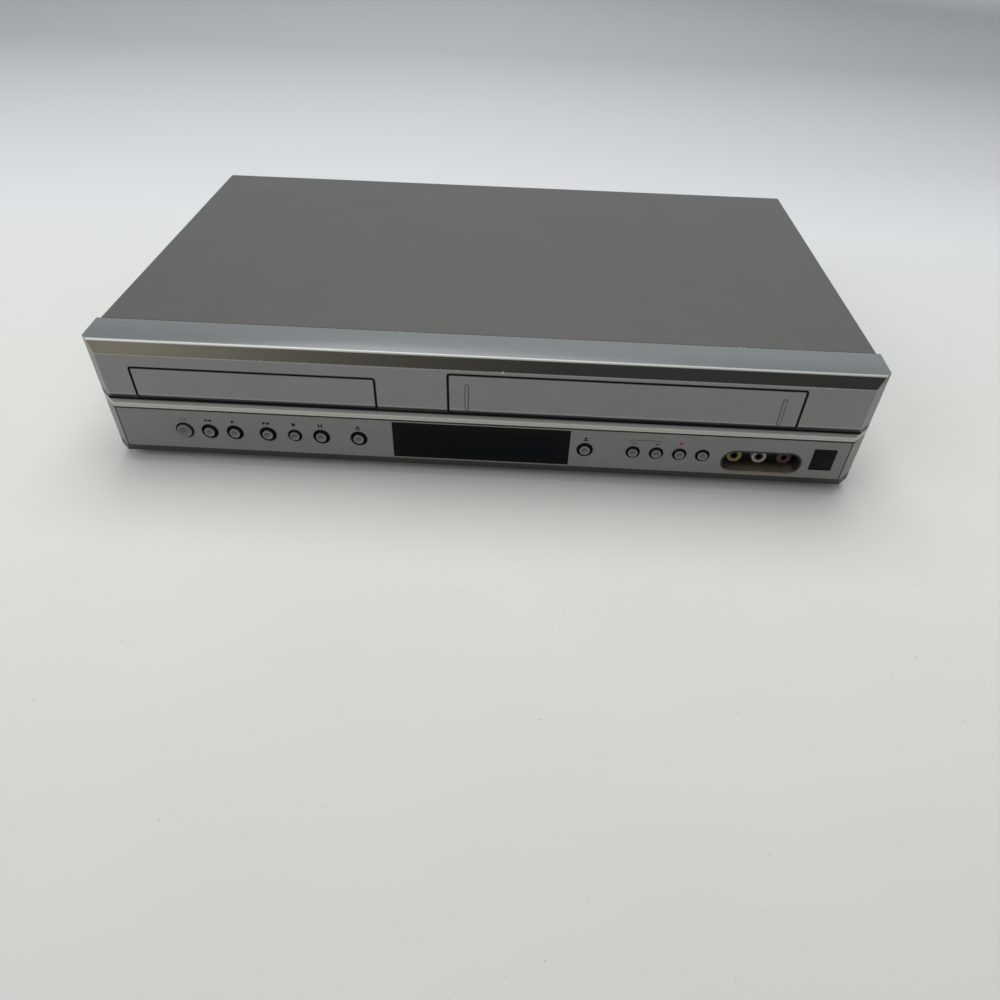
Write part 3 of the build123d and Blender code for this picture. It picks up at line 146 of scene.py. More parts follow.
class Graph:
    """The nodes of one material, with its coordinates in millimetres."""

    def __init__(self, name: str) -> None:
        """Start an empty material.

        Args:
            name: the material's name.
        """
        self.material = bpy.data.materials.new(name)
        self.material.use_nodes = True
        self.tree = self.material.node_tree
        self.tree.nodes.clear()
        place = self.node("TexCoord", out="Object")
        self.place = self.node(
            "VectorMath", {"operation": "SCALE"}, {0: place, "Scale": 1.0 / MM})
        self.x, self.y, self.z = self.parts(self.place)

    def node(self, kind: str, settings: dict | None = None, inputs: dict | None = None,
             out: int | str | None = 0) -> Field | None:
        """Add a node.

        Args:
            kind: the node's type, without ShaderNode before it.
            settings: its properties, set first.
            inputs: its sockets' values or links.
            out: the output that is wanted, if any.

        Returns:
            That output as a Field.
        """
        made = self.tree.nodes.new("ShaderNode" + kind)
        for key, value in (settings or {}).items():
            setattr(made, key, value)
        for key, value in (inputs or {}).items():
            if isinstance(value, Field):
                self.tree.links.new(value.socket, made.inputs[key])
            else:
                made.inputs[key].default_value = value
        return None if out is None else Field(self, made.outputs[out])

    def maths(self, operation: str, *values: Field | float) -> Field:
        """A Math node on up to three values."""
        return self.node("Math", {"operation": operation}, dict(enumerate(values)))

    def parts(self, vector: Field) -> tuple[Field, Field, Field]:
        """The three numbers of a vector."""
        node = self.node("SeparateXYZ", None, {0: vector}).socket.node
        return tuple(Field(self, node.outputs[axis]) for axis in range(3))

    def noise(self, size: float, detail: float = 2.0, vector: Field | None = None) -> Field:
        """Smooth noise about 0.5 whose lumps are about size across."""
        inputs = {"Vector": vector or self.place, "Scale": 1.0 / size, "Detail": detail}
        return self.node("TexNoise", None, inputs)

    def drawn(self, stretch: Point, detail: float = 3.0) -> Field:
        """Noise drawn out into lines, with its lumps per millimetre along each axis."""
        vector = self.node(
            "VectorMath", {"operation": "MULTIPLY"}, {0: self.place, 1: stretch})
        return self.noise(1.0, detail, vector)

    def cells(self, size: float) -> tuple[Field, Field, Field]:
        """Three random values for each of the cells, which are about size across."""
        inputs = {"Vector": self.place, "Scale": 1.0 / size}
        return self.parts(self.node("TexVoronoi", None, inputs, out="Color"))

    def mix(self, share: Field | float, first: Field | tuple, second: Field | tuple) -> Field:
        """A colour between two colours: fields, display colours (three parts) or linear ones (four)."""
        ends = (linear(end) if isinstance(end, tuple) and len(end) == 3 else end
                for end in (first, second))
        inputs = dict(zip((0, 6, 7), (share, *ends)))
        return self.node("Mix", {"data_type": "RGBA"}, inputs, out=2)

    def steps(self, share: Field, colours: Sequence[Colour]) -> Field:
        """One of several colours, in equal steps of a value from nought to one."""
        chosen = self.node("ValToRGB", None, {0: share})
        ramp = chosen.socket.node.color_ramp
        ramp.interpolation = "CONSTANT"
        while len(ramp.elements) < len(colours):
            ramp.elements.new(0.5)
        for index, (stop, colour) in enumerate(zip(ramp.elements, colours)):
            stop.position, stop.color = index / len(colours), linear(colour)
        return chosen

    def reach(self, across: Field, along: Field) -> Field:
        """How far a point is, by two steps at right angles."""
        return self.maths("SQRT", across * across + along * along)

    def distance(self, cx: float, cy: float) -> Field:
        """How far a point is from an upright line."""
        return self.reach(self.x - cx, self.y - cy)

    def front_distance(self, cx: float, cz: float) -> Field:
        """How far a point is from a line that runs front to back."""
        return self.reach(self.x - cx, self.z - cz)

    def box_distance(self, cx: float, cz: float, half_w: float, half_h: float, corner: float) -> Field:
        """How far out of an upright box with round corners a point is, seen from the front.

        It is nought at the box's edge and less inside.
        """
        wide = abs(self.x - cx) - (half_w - corner)
        tall = abs(self.z - cz) - (half_h - corner)
        outside = self.reach(self.maths("MAXIMUM", wide, 0.0), self.maths("MAXIMUM", tall, 0.0))
        return outside + self.maths("MINIMUM", self.maths("MAXIMUM", wide, tall), 0.0) - corner


class Lines(Enum):
    """The way in which fine tool or roller lines run: their lumps per millimetre along each axis."""

    NONE = ()
    ACROSS = (0.012, 3.0, 3.0)
    BACK = (3.0, 0.012, 3.0)


@dataclass(frozen=True)
class Finish:
    """A surface with fine grain, soft patches and small marks of use.

    Sizes are in millimetres, mottle is a share of the colour, and spread is a change of roughness.
    """

    name: str
    colour: Colour
    roughness: float = 0.45
    metallic: float = 0.0
    specular: float = 0.5
    coat: float = 0.0
    grain: float = 0.45
    depth: float = 0.01
    mottle: float = 0.05
    patch: float = 16.0
    spread: float = 0.06
    lines: Lines = Lines.NONE
    coat_roughness: float = 0.08
    bump: float = 0.6

    def tone(self, graph: Graph) -> Field:
        """The colour: darker and lighter patches round the main one."""
        share = graph.noise(self.patch, 3.0) * 0.7 + graph.noise(self.grain * 2, 1.0) * 0.3
        low, high = (shaded(self.colour, factor) for factor in (1 - self.mottle, 1 + self.mottle))
        return graph.mix(share.rise(0.3, 0.7), low, high)

    def streaks(self, graph: Graph) -> Field:
        """Fine lines along one axis, or the grain where there are none."""
        return graph.drawn(self.lines.value) if self.lines.value else graph.noise(self.grain, 2.0)

    def gloss(self, graph: Graph) -> Field:
        """The roughness: patches rubbed smoother, and the lines of the metal."""
        wander = graph.noise(self.patch * 0.6, 3.0) - 0.5
        change = (wander + self.streaks(graph) * 0.5) * (2 * self.spread)
        return change + (self.roughness - self.spread / 2)

    def relief(self, graph: Graph) -> Field:
        """The height of the grain, from nought to one."""
        return self.streaks(graph)

    def metal(self, graph: Graph) -> Field | float:
        """How metallic the surface is."""
        return self.metallic

    def glow(self, graph: Graph) -> Field | Linear:
        """The light that the surface gives off."""
        return DARK

    def material(self) -> bpy.types.Material:
        """The finish as a material, made once."""
        known = bpy.data.materials.get(self.name)
        if known:
            return known
        graph = Graph(self.name)
        bump = graph.node("Bump", None, {
            "Strength": self.bump, "Distance": self.depth * MM, "Height": self.relief(graph)})
        shader = graph.node("BsdfPrincipled", None, {
            "Base Color": self.tone(graph), "Roughness": self.gloss(graph),
            "Metallic": self.metal(graph), "Specular IOR Level": self.specular,
            "Coat Weight": self.coat, "Coat Roughness": self.coat_roughness, "Normal": bump,
            "Emission Color": self.glow(graph), "Emission Strength": 1.0})
        graph.node("OutputMaterial", None, {"Surface": shader}, out=None)
        return graph.material


@dataclass(frozen=True)
class PanelFinish(Finish):
    """Sprayed silver plastic on the panel and its doors, with bands by height of painted reflection,
    painted shade and painted light, painted highlights on the edges, and dark joints.

    Drops run down from the top and depths back from the upper face. A box is its middle x, middle z,
    half width, half height and corner radius.
    """

    # The strip's silver with a bluer tint that is partly painted reflection of the backdrop.
    strip: Colour = (127, 131, 132)
    # Painted highlight on the edges and in the glints, and the colour of the real pale chips.
    highlight_and_chip_colour: Colour = (214, 214, 208)
    # Painted reflection on the glossy brow: lighter at the left, darker at the right.
    brow_reflection_left: Colour = (98, 92, 76)
    brow_reflection_right: Colour = (46, 45, 41)
    # Painted shade on the slanted face that looks down under the doors.
    undercut_painted_shade: Colour = (68, 70, 72)
    # Painted light on the top of the rib, which faces up.
    ledge_painted_light: Colour = (177, 177, 170)
    # Painted shade in the crease under the rib and its turns down at the ends.
    groove_painted_shade: Colour = (52, 52, 51)
    # Painted shade on the bottom chamfer, which faces the floor, and faintly down the lower face.
    bevel_painted_shade: Colour = (44, 42, 38)
    # Black of the doors' gaps, also painted shadow under the doors and painted shade in their openings.
    joint: Colour = (9, 9, 9)
    # Painted shade round the foot of each grip rib.
    grip_foot_shade: Colour = (40, 41, 43)
    strip_foot: float = 0.85
    brow_drops: Pair = (0.9, 6.7)
    undercut_drops: Pair = (32.15, 36.0)
    ledge_drops: Pair = (36.3, 39.8)
    groove_drops: Pair = (39.95, 41.15)
    lower_drops: Pair = (41.0, 68.4)
    bevel_drop: float = 67.1
    shiny_drops: Pair = (0.4, 6.9)
    shadow_drops: Pair = (35.6, 36.4)
    opening_drops: Pair = (8.6, 32.0)
    opening_depth: float = 0.5
    # Where the painted highlight runs along the crown, and how far down it reaches.
    crown_depths: Pair = (4.5, 5.7)
    crown_foot: float = 1.7
    chip_depths: Pair = (25.2, 26.4)
    chip_drops: Pair = (6.3, 7.5)
    brow_fade: Pair = (-190.0, 40.0)
    end_x: float = 206.4
    end_line: float = 0.75
    joint_edges: Pair = (-0.425, 1.025)
    grip_edges: Pair = (-0.05, 0.45)
    # Painted highlight lines at the top and foot of the upper face, and at the top and foot of the rib
    # below.
    glints: tuple[tuple[float, ...], ...] = (
        (6.7, 7.2, 0.2, 0.25), (31.3, 31.9, 0.2, 0.2), (37.2, 37.7, 0.15, 0.5), (39.3, 39.7, 0.12, 0.4))
    door_boxes: tuple[Box, ...] = ((-124.35, 53.7, 66.15, 9.9, 1.2), (77.0, 56.35, 94.9, 12.35, 1.2))
    grip_boxes: tuple[Box, ...] = ((-8.0, 54.9, 0.75, 8.25, 0.7), (162.0, 54.9, 0.75, 8.25, 0.7))

    def shades(self, graph: Graph) -> Field:
        """The colour from the strip down to the bottom chamfer: painted reflection on the brow, painted
        shade on the slanted face under the doors, painted light on the rib below it, faint painted
        shade down the lower face and painted shade on the chamfer.
        """
        drop = TOP - graph.z
        fine = graph.drawn((0.01, 2.2, 2.2))
        # Painted reflection on the brow, fading from left to right, with fine streaks.
        sweep = graph.x.rise(*self.brow_fade) + (fine - 0.5) * 0.35
        brow = graph.mix(sweep, self.brow_reflection_left, self.brow_reflection_right)
        colour = graph.mix(drop.band(*self.brow_drops, 0.2), Finish.tone(self, graph), brow)
        # Fine streaks in the strip's silver; its bluer tint is partly painted reflection.
        strip = graph.mix(fine, shaded(self.strip, 0.92), self.strip)
        # The strip, then painted shade under the doors, painted light on the rib, faint painted shade
        # down the lower face and painted shade on the chamfer.
        for share, paint in (
            (1 - drop.past(self.strip_foot), strip),
            (drop.band(*self.undercut_drops), self.undercut_painted_shade),
            (drop.band(*self.ledge_drops), self.ledge_painted_light),
            (drop.past(self.lower_drops[0] + 0.2, 0.2) * 0.16, self.bevel_painted_shade),
            (drop.past(self.bevel_drop, 0.2), self.bevel_painted_shade),
        ):
            colour = graph.mix(share, colour, paint)
        return colour

    def edges(self, graph: Graph) -> Field:
        """Painted highlights where the edges would catch the light: the crown over the brow, and the
        glints.

        A glint is its lowest and highest drop, its softness and its strength.
        """
        drop, depth = TOP - graph.z, graph.y - FACE_Y
        light = depth.band(*self.crown_depths, 0.25) * (1 - drop.past(self.crown_foot))
        for low, high, soft, strength in self.glints:
            light = light + drop.band(low, high, soft) * strength
        return light.clamped()

    def chips(self, graph: Graph) -> Field:
        """Small pale chips here and there along the strip's back edge and the brow's foot."""
        drop, depth = TOP - graph.z, graph.y - FACE_Y
        spots = graph.noise(2.4, 2.0).rise(0.66, 0.7) * graph.noise(40.0, 1.0).rise(0.52, 0.56)
        return spots * (depth.band(*self.chip_depths, 0.2) + drop.band(*self.chip_drops, 0.2))

    def joints(self, graph: Graph) -> Field:
        """Where it's dark: painted shadow at the foot of the slanted face under the doors, the doors'
        gaps, and painted shade on the walls of their openings.
        """
        drop, depth = TOP - graph.z, graph.y - FACE_Y
        between = 1 - abs(graph.x).past(self.end_x - 2.1, 0.3)
        # Painted shadow at the foot of the face under the doors, and painted shade on the openings'
        # walls.
        dark = drop.band(*self.shadow_drops) + (
            depth.past(self.opening_depth) * drop.band(*self.opening_drops) * between)
        for box in self.door_boxes:
            dark = dark + graph.box_distance(*box).band(*self.joint_edges)
        return dark.clamped()

    def groove_shade_lines(self, graph: Graph) -> Field:
        """Painted shade in the crease under the rib, with its turns down at the panel's ends."""
        drop, depth = TOP - graph.z, graph.y - FACE_Y
        along = drop.band(*self.groove_drops, 0.08) * (1 - depth.past(2.1))
        down = abs(graph.x).band(self.end_x - self.end_line, self.end_x)
        return (along + down * drop.band(*self.lower_drops, 0.2)).clamped()

    def tone(self, graph: Graph) -> Field:
        """The shades with their painted highlights on the bright edges, the pale chips, painted shade
        in the fine dark lines, and the black joints with painted shade in the doors' openings.
        """
        # Painted highlights on the edges, then real pale chips, in the same colour.
        colour = graph.mix(self.edges(graph), self.shades(graph), self.highlight_and_chip_colour)
        colour = graph.mix(self.chips(graph) * 0.8, colour, self.highlight_and_chip_colour)
        # Painted shade in the crease lines.
        colour = graph.mix(self.groove_shade_lines(graph), colour, self.groove_painted_shade)
        for box in self.grip_boxes:
            # Painted shade round this grip's foot.
            outline = graph.box_distance(*box).band(*self.grip_edges, 0.12)
            colour = graph.mix(outline * 0.8, colour, self.grip_foot_shade)
        return graph.mix(self.joints(graph), colour, self.joint)

    def gloss(self, graph: Graph) -> Field:
        """Smoother on the brow than on the faces, dull in the joints."""
        brow = (TOP - graph.z).band(*self.shiny_drops, 0.25)
        return Finish.gloss(self, graph) - brow * 0.14 + self.joints(graph) * 0.3

    def metal(self, graph: Graph) -> Field:
        """A little metallic, but not in the joints."""
        return (1 - self.joints(graph)) * self.metallic


@dataclass(frozen=True)
class CoverFinish(Finish):
    """Painted sheet with fine dust and, here and there, short rubbed lines."""

    dust: Colour = (168, 168, 164)

    def tone(self, graph: Graph) -> Field:
        """The paint, with specks of dust and short scratches."""
        specks = graph.noise(0.9, 1.0).rise(0.745, 0.79)
        rubbed = graph.drawn((0.03, 1.3, 1.0), 2.0).rise(0.7, 0.78)
        where = graph.noise(60.0, 1.0).rise(0.5, 0.75)
        return graph.mix(specks * 0.5 + rubbed * where * 0.35, Finish.tone(self, graph), self.dust)


@dataclass(frozen=True)
class ZincFinish(Finish):
    """Zinc-coated sheet: flat crystals, each a little lighter or darker than the next."""

    crystal: float = 7.0
    shades: Pair = (0.88, 1.06)

    def tone(self, graph: Graph) -> Field:
        """The crystals' own shades."""
        shade, _, _ = graph.cells(self.crystal)
        return graph.mix(shade, *(shaded(self.colour, factor) for factor in self.shades))

    def gloss(self, graph: Graph) -> Field:
        """The crystals' own gloss."""
        _, shine, _ = graph.cells(self.crystal)
        return shine * 0.16 + (self.roughness - 0.08)


@dataclass(frozen=True)
class RearFinish(ZincFinish):
    """Zinc-coated sheet with printed frames round the jacks, and a blank label."""

    ink: Colour = (40, 40, 42)
    paper: Colour = (206, 205, 198)
    frame_box: Box = (22.0, 38.5, 45.0, 17.5, 1.2)
    label_box: Box = (132.0, 40.0, 32.0, 13.0, 1.2)
    label_line: Pair = (-1.6, -1.2)
    pair: float = 30.0
    line: float = 0.25
    soft: float = 0.05

    def tone(self, graph: Graph) -> Field:
        """The sheet, the frame with its lines between pairs of columns, and the label."""
        inside = graph.box_distance(*self.frame_box)
        aside = abs(graph.x.repeat(self.pair, self.frame_box[0] - self.frame_box[2]))
        upright = (1 - aside.past(self.line, self.soft)) * (1 - inside.past(-self.soft, self.soft))
        printed = (inside.band(-self.line, self.line, self.soft) + upright).clamped()
        colour = graph.mix(printed, ZincFinish.tone(self, graph), self.ink)
        label = graph.box_distance(*self.label_box)
        colour = graph.mix(1 - label.past(0.0, self.soft), colour, self.paper)
        return graph.mix(label.band(*self.label_line, self.soft), colour, self.ink)

    def metal(self, graph: Graph) -> Field:
        """Bare metal but for the label."""
        return graph.box_distance(*self.label_box).past(0.0, self.soft) * self.metallic


@dataclass(frozen=True)
class TurnedFinish(Finish):
    """Metal turned on a lathe about an upright axis: fine rings, and a darker cut now and then."""

    cx: float = 0.0
    cy: float = 0.0

    def relief(self, graph: Graph) -> Field:
        """Rings by the distance from the axis, and by height on the sides."""
        reach = graph.distance(self.cx, self.cy) + graph.z * 1.7
        inputs = {"W": reach, "Scale": 5.0, "Detail": 3.0}
        return graph.node("TexNoise", {"noise_dimensions": "1D"}, inputs)

    def gloss(self, graph: Graph) -> Field:
        """The rings' gloss."""
        return self.relief(graph) * 0.2 + (self.roughness - 0.1)


@dataclass(frozen=True)
class CapFinish(Finish):
    """A button's sprayed cap: painted highlight on its rim and on the low part of its dish, and painted
    shade on its side.

    Rim, bowl and side are shares of the cap's radius, as are the heights between which the bowl's
    light fades.
    """

    cx: float = 0.0
    cz: float = 0.0
    cap: float = 3.0
    shine: float = 0.42
    rim: Pair = (0.74, 0.9)
    bowl: Pair = (0.2, 0.62)
    side: Pair = (0.92, 1.0)
    fade: Pair = (-0.8, -0.1)
    # Painted shade on the cap's side, and painted highlight on its rim and in its dish.
    shadow: Colour = (30, 30, 30)
    painted_light: Colour = (196, 197, 195)

    def tone(self, graph: Graph) -> Field:
        """Painted highlights on the rim and the dish's low part, and painted shade on the side, by the
        distance from the button's axis.
        """
        reach = graph.front_distance(self.cx, self.cz) / self.cap
        low = reach.band(*self.bowl) * (1 - ((graph.z - self.cz) / self.cap).rise(*self.fade))
        light = (reach.band(*self.rim, 0.06) + low * 0.7) * self.shine
        paint = graph.mix(reach.rise(*self.side) * 0.7, Finish.tone(self, graph), self.shadow)
        return graph.mix(light, paint, self.painted_light)


@dataclass(frozen=True)
class JackFinish(Finish):
    """A plastic collar round a plated sleeve and a bore, in line with the depth axis: the sleeve
    darkened and the bore near black as painted shade.
    """

    cx: float = 0.0
    cz: float = 0.0
    collar: float = 2.6
    bore: float = 1.9
    # The sleeve darkened and the bore near black: painted shade of the pocket.
    sleeve: Colour = (96, 88, 78)
    hollow: Colour = (12, 11, 10)

    def tone(self, graph: Graph) -> Field:
        """Collar, sleeve and bore by the distance from the axis, with painted shade on the sleeve and
        in the bore.
        """
        reach = graph.front_distance(self.cx, self.cz)
        colour = graph.mix(reach.past(self.collar), self.sleeve, Finish.tone(self, graph))
        return graph.mix(reach.past(self.bore), self.hollow, colour)

    def metal(self, graph: Graph) -> Field:
        """Plated on the sleeve."""
        return graph.front_distance(self.cx, self.cz).band(self.bore, self.collar) * 0.9


@dataclass(frozen=True)
class PocketFinish(Finish):
    """Black plastic whose floor is painted lighter, a warm grey towards its front edge: painted light
    on the floor that faces up.
    """

    # Painted light on the pocket's floor.
    painted_light: Colour = (124, 115, 98)
    floor_z: float = 13.0
    fade: Pair = (0.2, 3.0)
    depths: Pair = (2.0, 11.0)

    def tone(self, graph: Graph) -> Field:
        """Painted light: the warm grey by height over the pocket's floor, uneven along it."""
        wave = graph.noise(8.0, 2.0) * 1.6 - 0.8
        low = 1 - (graph.z - self.floor_z + wave).rise(*self.fade)
        share = low * (1 - (graph.y - FACE_Y).rise(*self.depths))
        return graph.mix(share, Finish.tone(self, graph), self.painted_light)


@dataclass(frozen=True)
class JackBlockFinish(Finish):
    """Black plastic with two rows of coloured collars."""

    first: float = -15.5
    pitch: float = 15.0
    rows: Pair = (30.0, 47.0)
    collar: Pair = (2.75, 4.4)
    mouth: Pair = (1.75, 2.75)
    sleeve: Colour = (176, 174, 168)
    hues: tuple[Colour, ...] = (
        (214, 176, 40), (222, 220, 212), (176, 34, 30), (40, 120, 60), (44, 70, 150), (190, 84, 30))

    def tone(self, graph: Graph) -> Field:
        """The collars' colours by column, behind the back panel only."""
        middle, step = sum(self.rows) / 2, self.rows[1] - self.rows[0]
        left, long = self.first - self.pitch / 2, self.pitch * len(self.hues)
        reach = graph.reach(graph.x.repeat(self.pitch, self.first), graph.z.repeat(step, self.rows[0]))
        ring = graph.steps((graph.x - left) / long, self.hues)
        inside = graph.z.band(middle - step, middle + step) * graph.x.band(left, left + long) * (
            graph.y.rise(BACK_Y - 0.3, BACK_Y))
        colour = graph.mix(inside * reach.band(*self.collar), Finish.tone(self, graph), ring)
        return graph.mix(inside * reach.band(*self.mouth), colour, self.sleeve)


@dataclass(frozen=True)
class WindowFinish(Finish):
    """A dark see-in window: the tube behind it shows as a slightly cooler field."""

    field_half: Pair = (43.0, 8.2)
    middle_z: float = 24.4
    tube: Colour = (5, 8, 13)
    mesh_pitch: float = 0.7

    def tone(self, graph: Graph) -> Field:
        """The pane, and the cooler field of the tube behind it."""
        wide = 1 - abs(graph.x).past(self.field_half[0], 0.4)
        tall = 1 - abs(graph.z - self.middle_z).past(self.field_half[1], 0.4)
        mesh = abs(graph.x.repeat(self.mesh_pitch)).rise(0.1, 0.3) * 0.25 + 0.75
        return graph.mix(wide * tall * mesh, Finish.tone(self, graph), self.tube)


@dataclass(frozen=True)
class BoardFinish(Finish):
    """A printed board: lacquer over copper tracks and rows of solder joints, with its components.

    The lacquer ends at top, by height or, on an upright board, by how far forward it is. What
    stands above it takes the components' colours.
    """

    top: float = 13.6
    upright: bool = False
    track: Colour = (74, 104, 60)
    solder: Colour = (170, 168, 160)
    parts_colours: tuple[Colour, ...] = ((26, 26, 28), (30, 31, 38), (24, 24, 25), (33, 32, 31))
    area: float = 14.0
    part_area: float = 26.0
    track_pitch: float = 1.9
    joint_pitch: float = 2.54

    def tone(self, graph: Graph) -> Field:
        """Tracks, joints and components."""
        across, along = graph.x, graph.z if self.upright else graph.y
        height = graph.y * -1.0 if self.upright else graph.z
        pick, gate, _ = graph.cells(self.area)
        turn = pick.past(0.5, 0.01)
        one, other = (abs(way.repeat(self.track_pitch)).past(0.47, 0.05) for way in (across, along))
        lines = (one * turn + other * (1 - turn)) * gate.rise(0.25, 0.3)
        board = graph.mix(lines, self.colour, self.track)
        dot = graph.reach(across.repeat(self.joint_pitch), along.repeat(self.joint_pitch))
        board = graph.mix((1 - dot.rise(0.5, 0.62)) * gate.rise(0.55, 0.6), board, self.solder)
        kind, _, _ = graph.cells(self.part_area)
        part = graph.steps(kind, self.parts_colours)
        return graph.mix(height.rise(self.top + 0.05, self.top + 0.1), board, part)


@dataclass(frozen=True)
class FloorFinish(Finish):
    """A pale paper sweep with very faint marks, a painted bluer light behind the part, painted shade
    far behind it, to the right far back and near the front, and a painted glow far out.
    """

    far: Pair = (250.0, 1000.0)
    behind: Pair = (-50.0, 300.0)
    near: Pair = (-420.0, -200.0)
    right: Pair = (-100.0, 700.0)
    pale: Pair = (1900.0, 3400.0)
    # A painted bluer light behind the part, the colour of painted shade and dark flecks, and a painted
    # glow far out.
    painted_blue_tint: Linear = (0.768, 0.784, 0.791, 1.0)
    fleck_and_shade_colour: Linear = (0.0, 0.0, 0.02, 1.0)
    far_painted_glow: Linear = (0.33, 0.34, 0.34, 1.0)

    def tone(self, graph: Graph) -> Field:
        """The paper with its painted bluer light behind, and painted shade by how far back, to the
        right and to the front it is, with faint dark flecks.
        """
        paper = graph.mix(graph.y.rise(*self.behind), Finish.tone(self, graph), self.painted_blue_tint)
        back = graph.y.rise(*self.far) * (1 - graph.distance(0.0, 0.0).rise(*self.pale))
        aside = back.rise(0.0, 0.3) * graph.x.rise(*self.right)
        flecks = graph.noise(2.2, 1.0).rise(0.77, 0.82)
        # Painted shade far behind, to the right far back and near the front, and real dark flecks.
        shade = back * 0.36 + aside * 0.1 + (1 - graph.y.rise(*self.near)) * 0.13 + flecks * 0.3
        return graph.mix(shade, paper, self.fleck_and_shade_colour)

    def glow(self, graph: Graph) -> Field:
        """A faint even painted glow far out, where the lamps don't reach, so that the floor ends pale.
        """
        return graph.mix(graph.distance(0.0, 0.0).rise(*self.pale), DARK, self.far_painted_glow)

    def relief(self, graph: Graph) -> Field:
        """Paper fibre."""
        return graph.noise(1.6, 4.0)


PAPER = FloorFinish("paper", (228, 228, 222), 0.75, specular=0.2, depth=0.05, mottle=0.015, patch=120.0)
SILVER = PanelFinish("sprayed_silver_panel", (131, 131, 129), 0.44, 0.25, depth=0.008, mottle=0.04)
DOOR = Finish("sprayed_silver_door", (131, 131, 129), 0.44, 0.25, depth=0.008, mottle=0.04)
# Near black in the rings round the caps: painted shade.
BUTTON_WELL_SHADE = Finish("button_well_shade", (15, 15, 15), 0.55, specular=0.3, depth=0.006, mottle=0.1)
COVER = CoverFinish("cover_paint", (88, 87, 85), 0.5, 0.15, depth=0.02, grain=0.7, mottle=0.035,
                    patch=40.0)
WINDOW = WindowFinish("window_smoke", (14, 13, 13), 0.12, specular=0.07, depth=0.001, mottle=0.1,
                      spread=0.03)
POCKET = PocketFinish("pocket_black", (24, 23, 21), 0.5, depth=0.02, mottle=0.12, patch=9.0)
BLACK = Finish("moulded_black", (30, 30, 31), 0.5, depth=0.02, mottle=0.1)
GREY = Finish("moulded_grey", (126, 127, 126), 0.5, depth=0.02, mottle=0.06)
TRAY = Finish("moulded_tray", (52, 53, 55), 0.48, depth=0.02, mottle=0.08)
WHITE = Finish("moulded_white", (214, 212, 203), 0.45, depth=0.015, mottle=0.04)
PALE = Finish("moulded_pale", (196, 194, 188), 0.45, depth=0.015, mottle=0.05)
ZINC = ZincFinish("zinc_sheet", (158, 160, 162), 0.4, 0.6, depth=0.01)
REAR = RearFinish("zinc_back", (146, 148, 150), 0.42, 0.6, depth=0.01, crystal=5.0)
DECK = Finish("rolled_steel", (158, 160, 162), 0.36, 0.9, depth=0.012, lines=Lines.ACROSS, mottle=0.05)
BRACKET = Finish("pressed_steel", (150, 152, 155), 0.38, 0.9, depth=0.012, lines=Lines.BACK,
                 mottle=0.06)
POLISHED = Finish("ground_steel", (196, 197, 199), 0.2, 1.0, depth=0.003, lines=Lines.BACK, mottle=0.04)
SCREW = Finish("blackened_screw", (62, 62, 64), 0.35, 0.8, depth=0.006, grain=0.25, mottle=0.12)
RUBBER = Finish("rubber", (27, 27, 27), 0.78, specular=0.3, depth=0.04, grain=0.5, mottle=0.15)
PRINT = Finish("print_black", (10, 10, 11), 0.6, specular=0.2, depth=0.002, mottle=0.12, patch=3.0)
RED = Finish("print_red", (140, 24, 28), 0.5, depth=0.002, mottle=0.1, patch=3.0)
LENS = Finish("lens_glass", (30, 34, 58), 0.06, 0.2, coat=1.0, depth=0.001, mottle=0.2, patch=2.0)
PATCH = Finish("bare_film_patch", (15, 15, 17), 0.6, specular=0.12, depth=0.003, mottle=0.2, patch=5.0)
MAIN_BOARD = BoardFinish("board_green", (44, 78, 44), 0.4, depth=0.01)
POWER_BOARD = BoardFinish("board_brown", (128, 98, 56), 0.5, depth=0.01, track=(112, 84, 46))
FRONT_BOARD = BoardFinish("board_front", (128, 98, 56), 0.5, depth=0.01, track=(112, 84, 46), top=117.2,
                          upright=True)

CARRIED: dict[Finish, str] = {
    SILVER: "front_panel tray_door cassette_door",
    POLISHED: "door_spring guide_rods feed_screw supply_guide takeup_guide capstan",
    POCKET: "av_pocket",
    FRONT_BOARD: "front_board",
    COVER: "top_cover",
    ZINC: "bottom_pan",
    REAR: "rear_panel",
    BLACK: "power_inlet loader_frame turntable",
    TRAY: "disc_tray",
    WHITE: "tray_gear supply_reel takeup_reel",
    BRACKET: "tray_motor pickup_motors holder_brackets carriage_sliders cassette_holder "
             "tape_heads pinch_arm",
    RUBBER: "tray_belt idler_gear pinch_roller",
    DECK: "pickup_chassis clamp_bridge deck_plate",
    GREY: "pickup_sled idler_arm",
    PALE: "clamper",
    MAIN_BOARD: "main_board",
    POWER_BOARD: "power_board",
    JackBlockFinish("jack_block", (28, 28, 30), 0.5, depth=0.02): "rear_jack_block",
}
SOFTENED: dict[str, float] = {
    "front_panel": 0.45, "tray_door": 0.3, "cassette_door": 0.3, "av_pocket": 0.3, "disc_tray": 0.35,
    "power_inlet": 0.3, "clamper": 0.3, "pickup_sled": 0.4,
}


# ---------- shapes
FRONT: Pair = (0.0, -1.0)
BACK: Pair = (0.0, 1.0)


@dataclass(frozen=True)
class Seat:
    """Where a shape is built: an origin, and the directions of its own x, y and z."""

    origin: Point
    right: Point = (1.0, 0.0, 0.0)
    up: Point = (0.0, 1.0, 0.0)
    out: Point = (0.0, 0.0, 1.0)

    def place(self, points: np.ndarray) -> np.ndarray:
        """Points of the shape in the frame: the origin plus x, y and z along the three directions."""
        return np.asarray(self.origin) + points @ np.array([self.right, self.up, self.out])


def facing(out: Pair, x: float, y: float, z: float) -> Seat:
    """An upright seat whose own z points along a level direction, and its own x across it."""
    return Seat((x, y, z), (-out[1], out[0], 0.0), (0.0, 0.0, 1.0), (*out, 0.0))


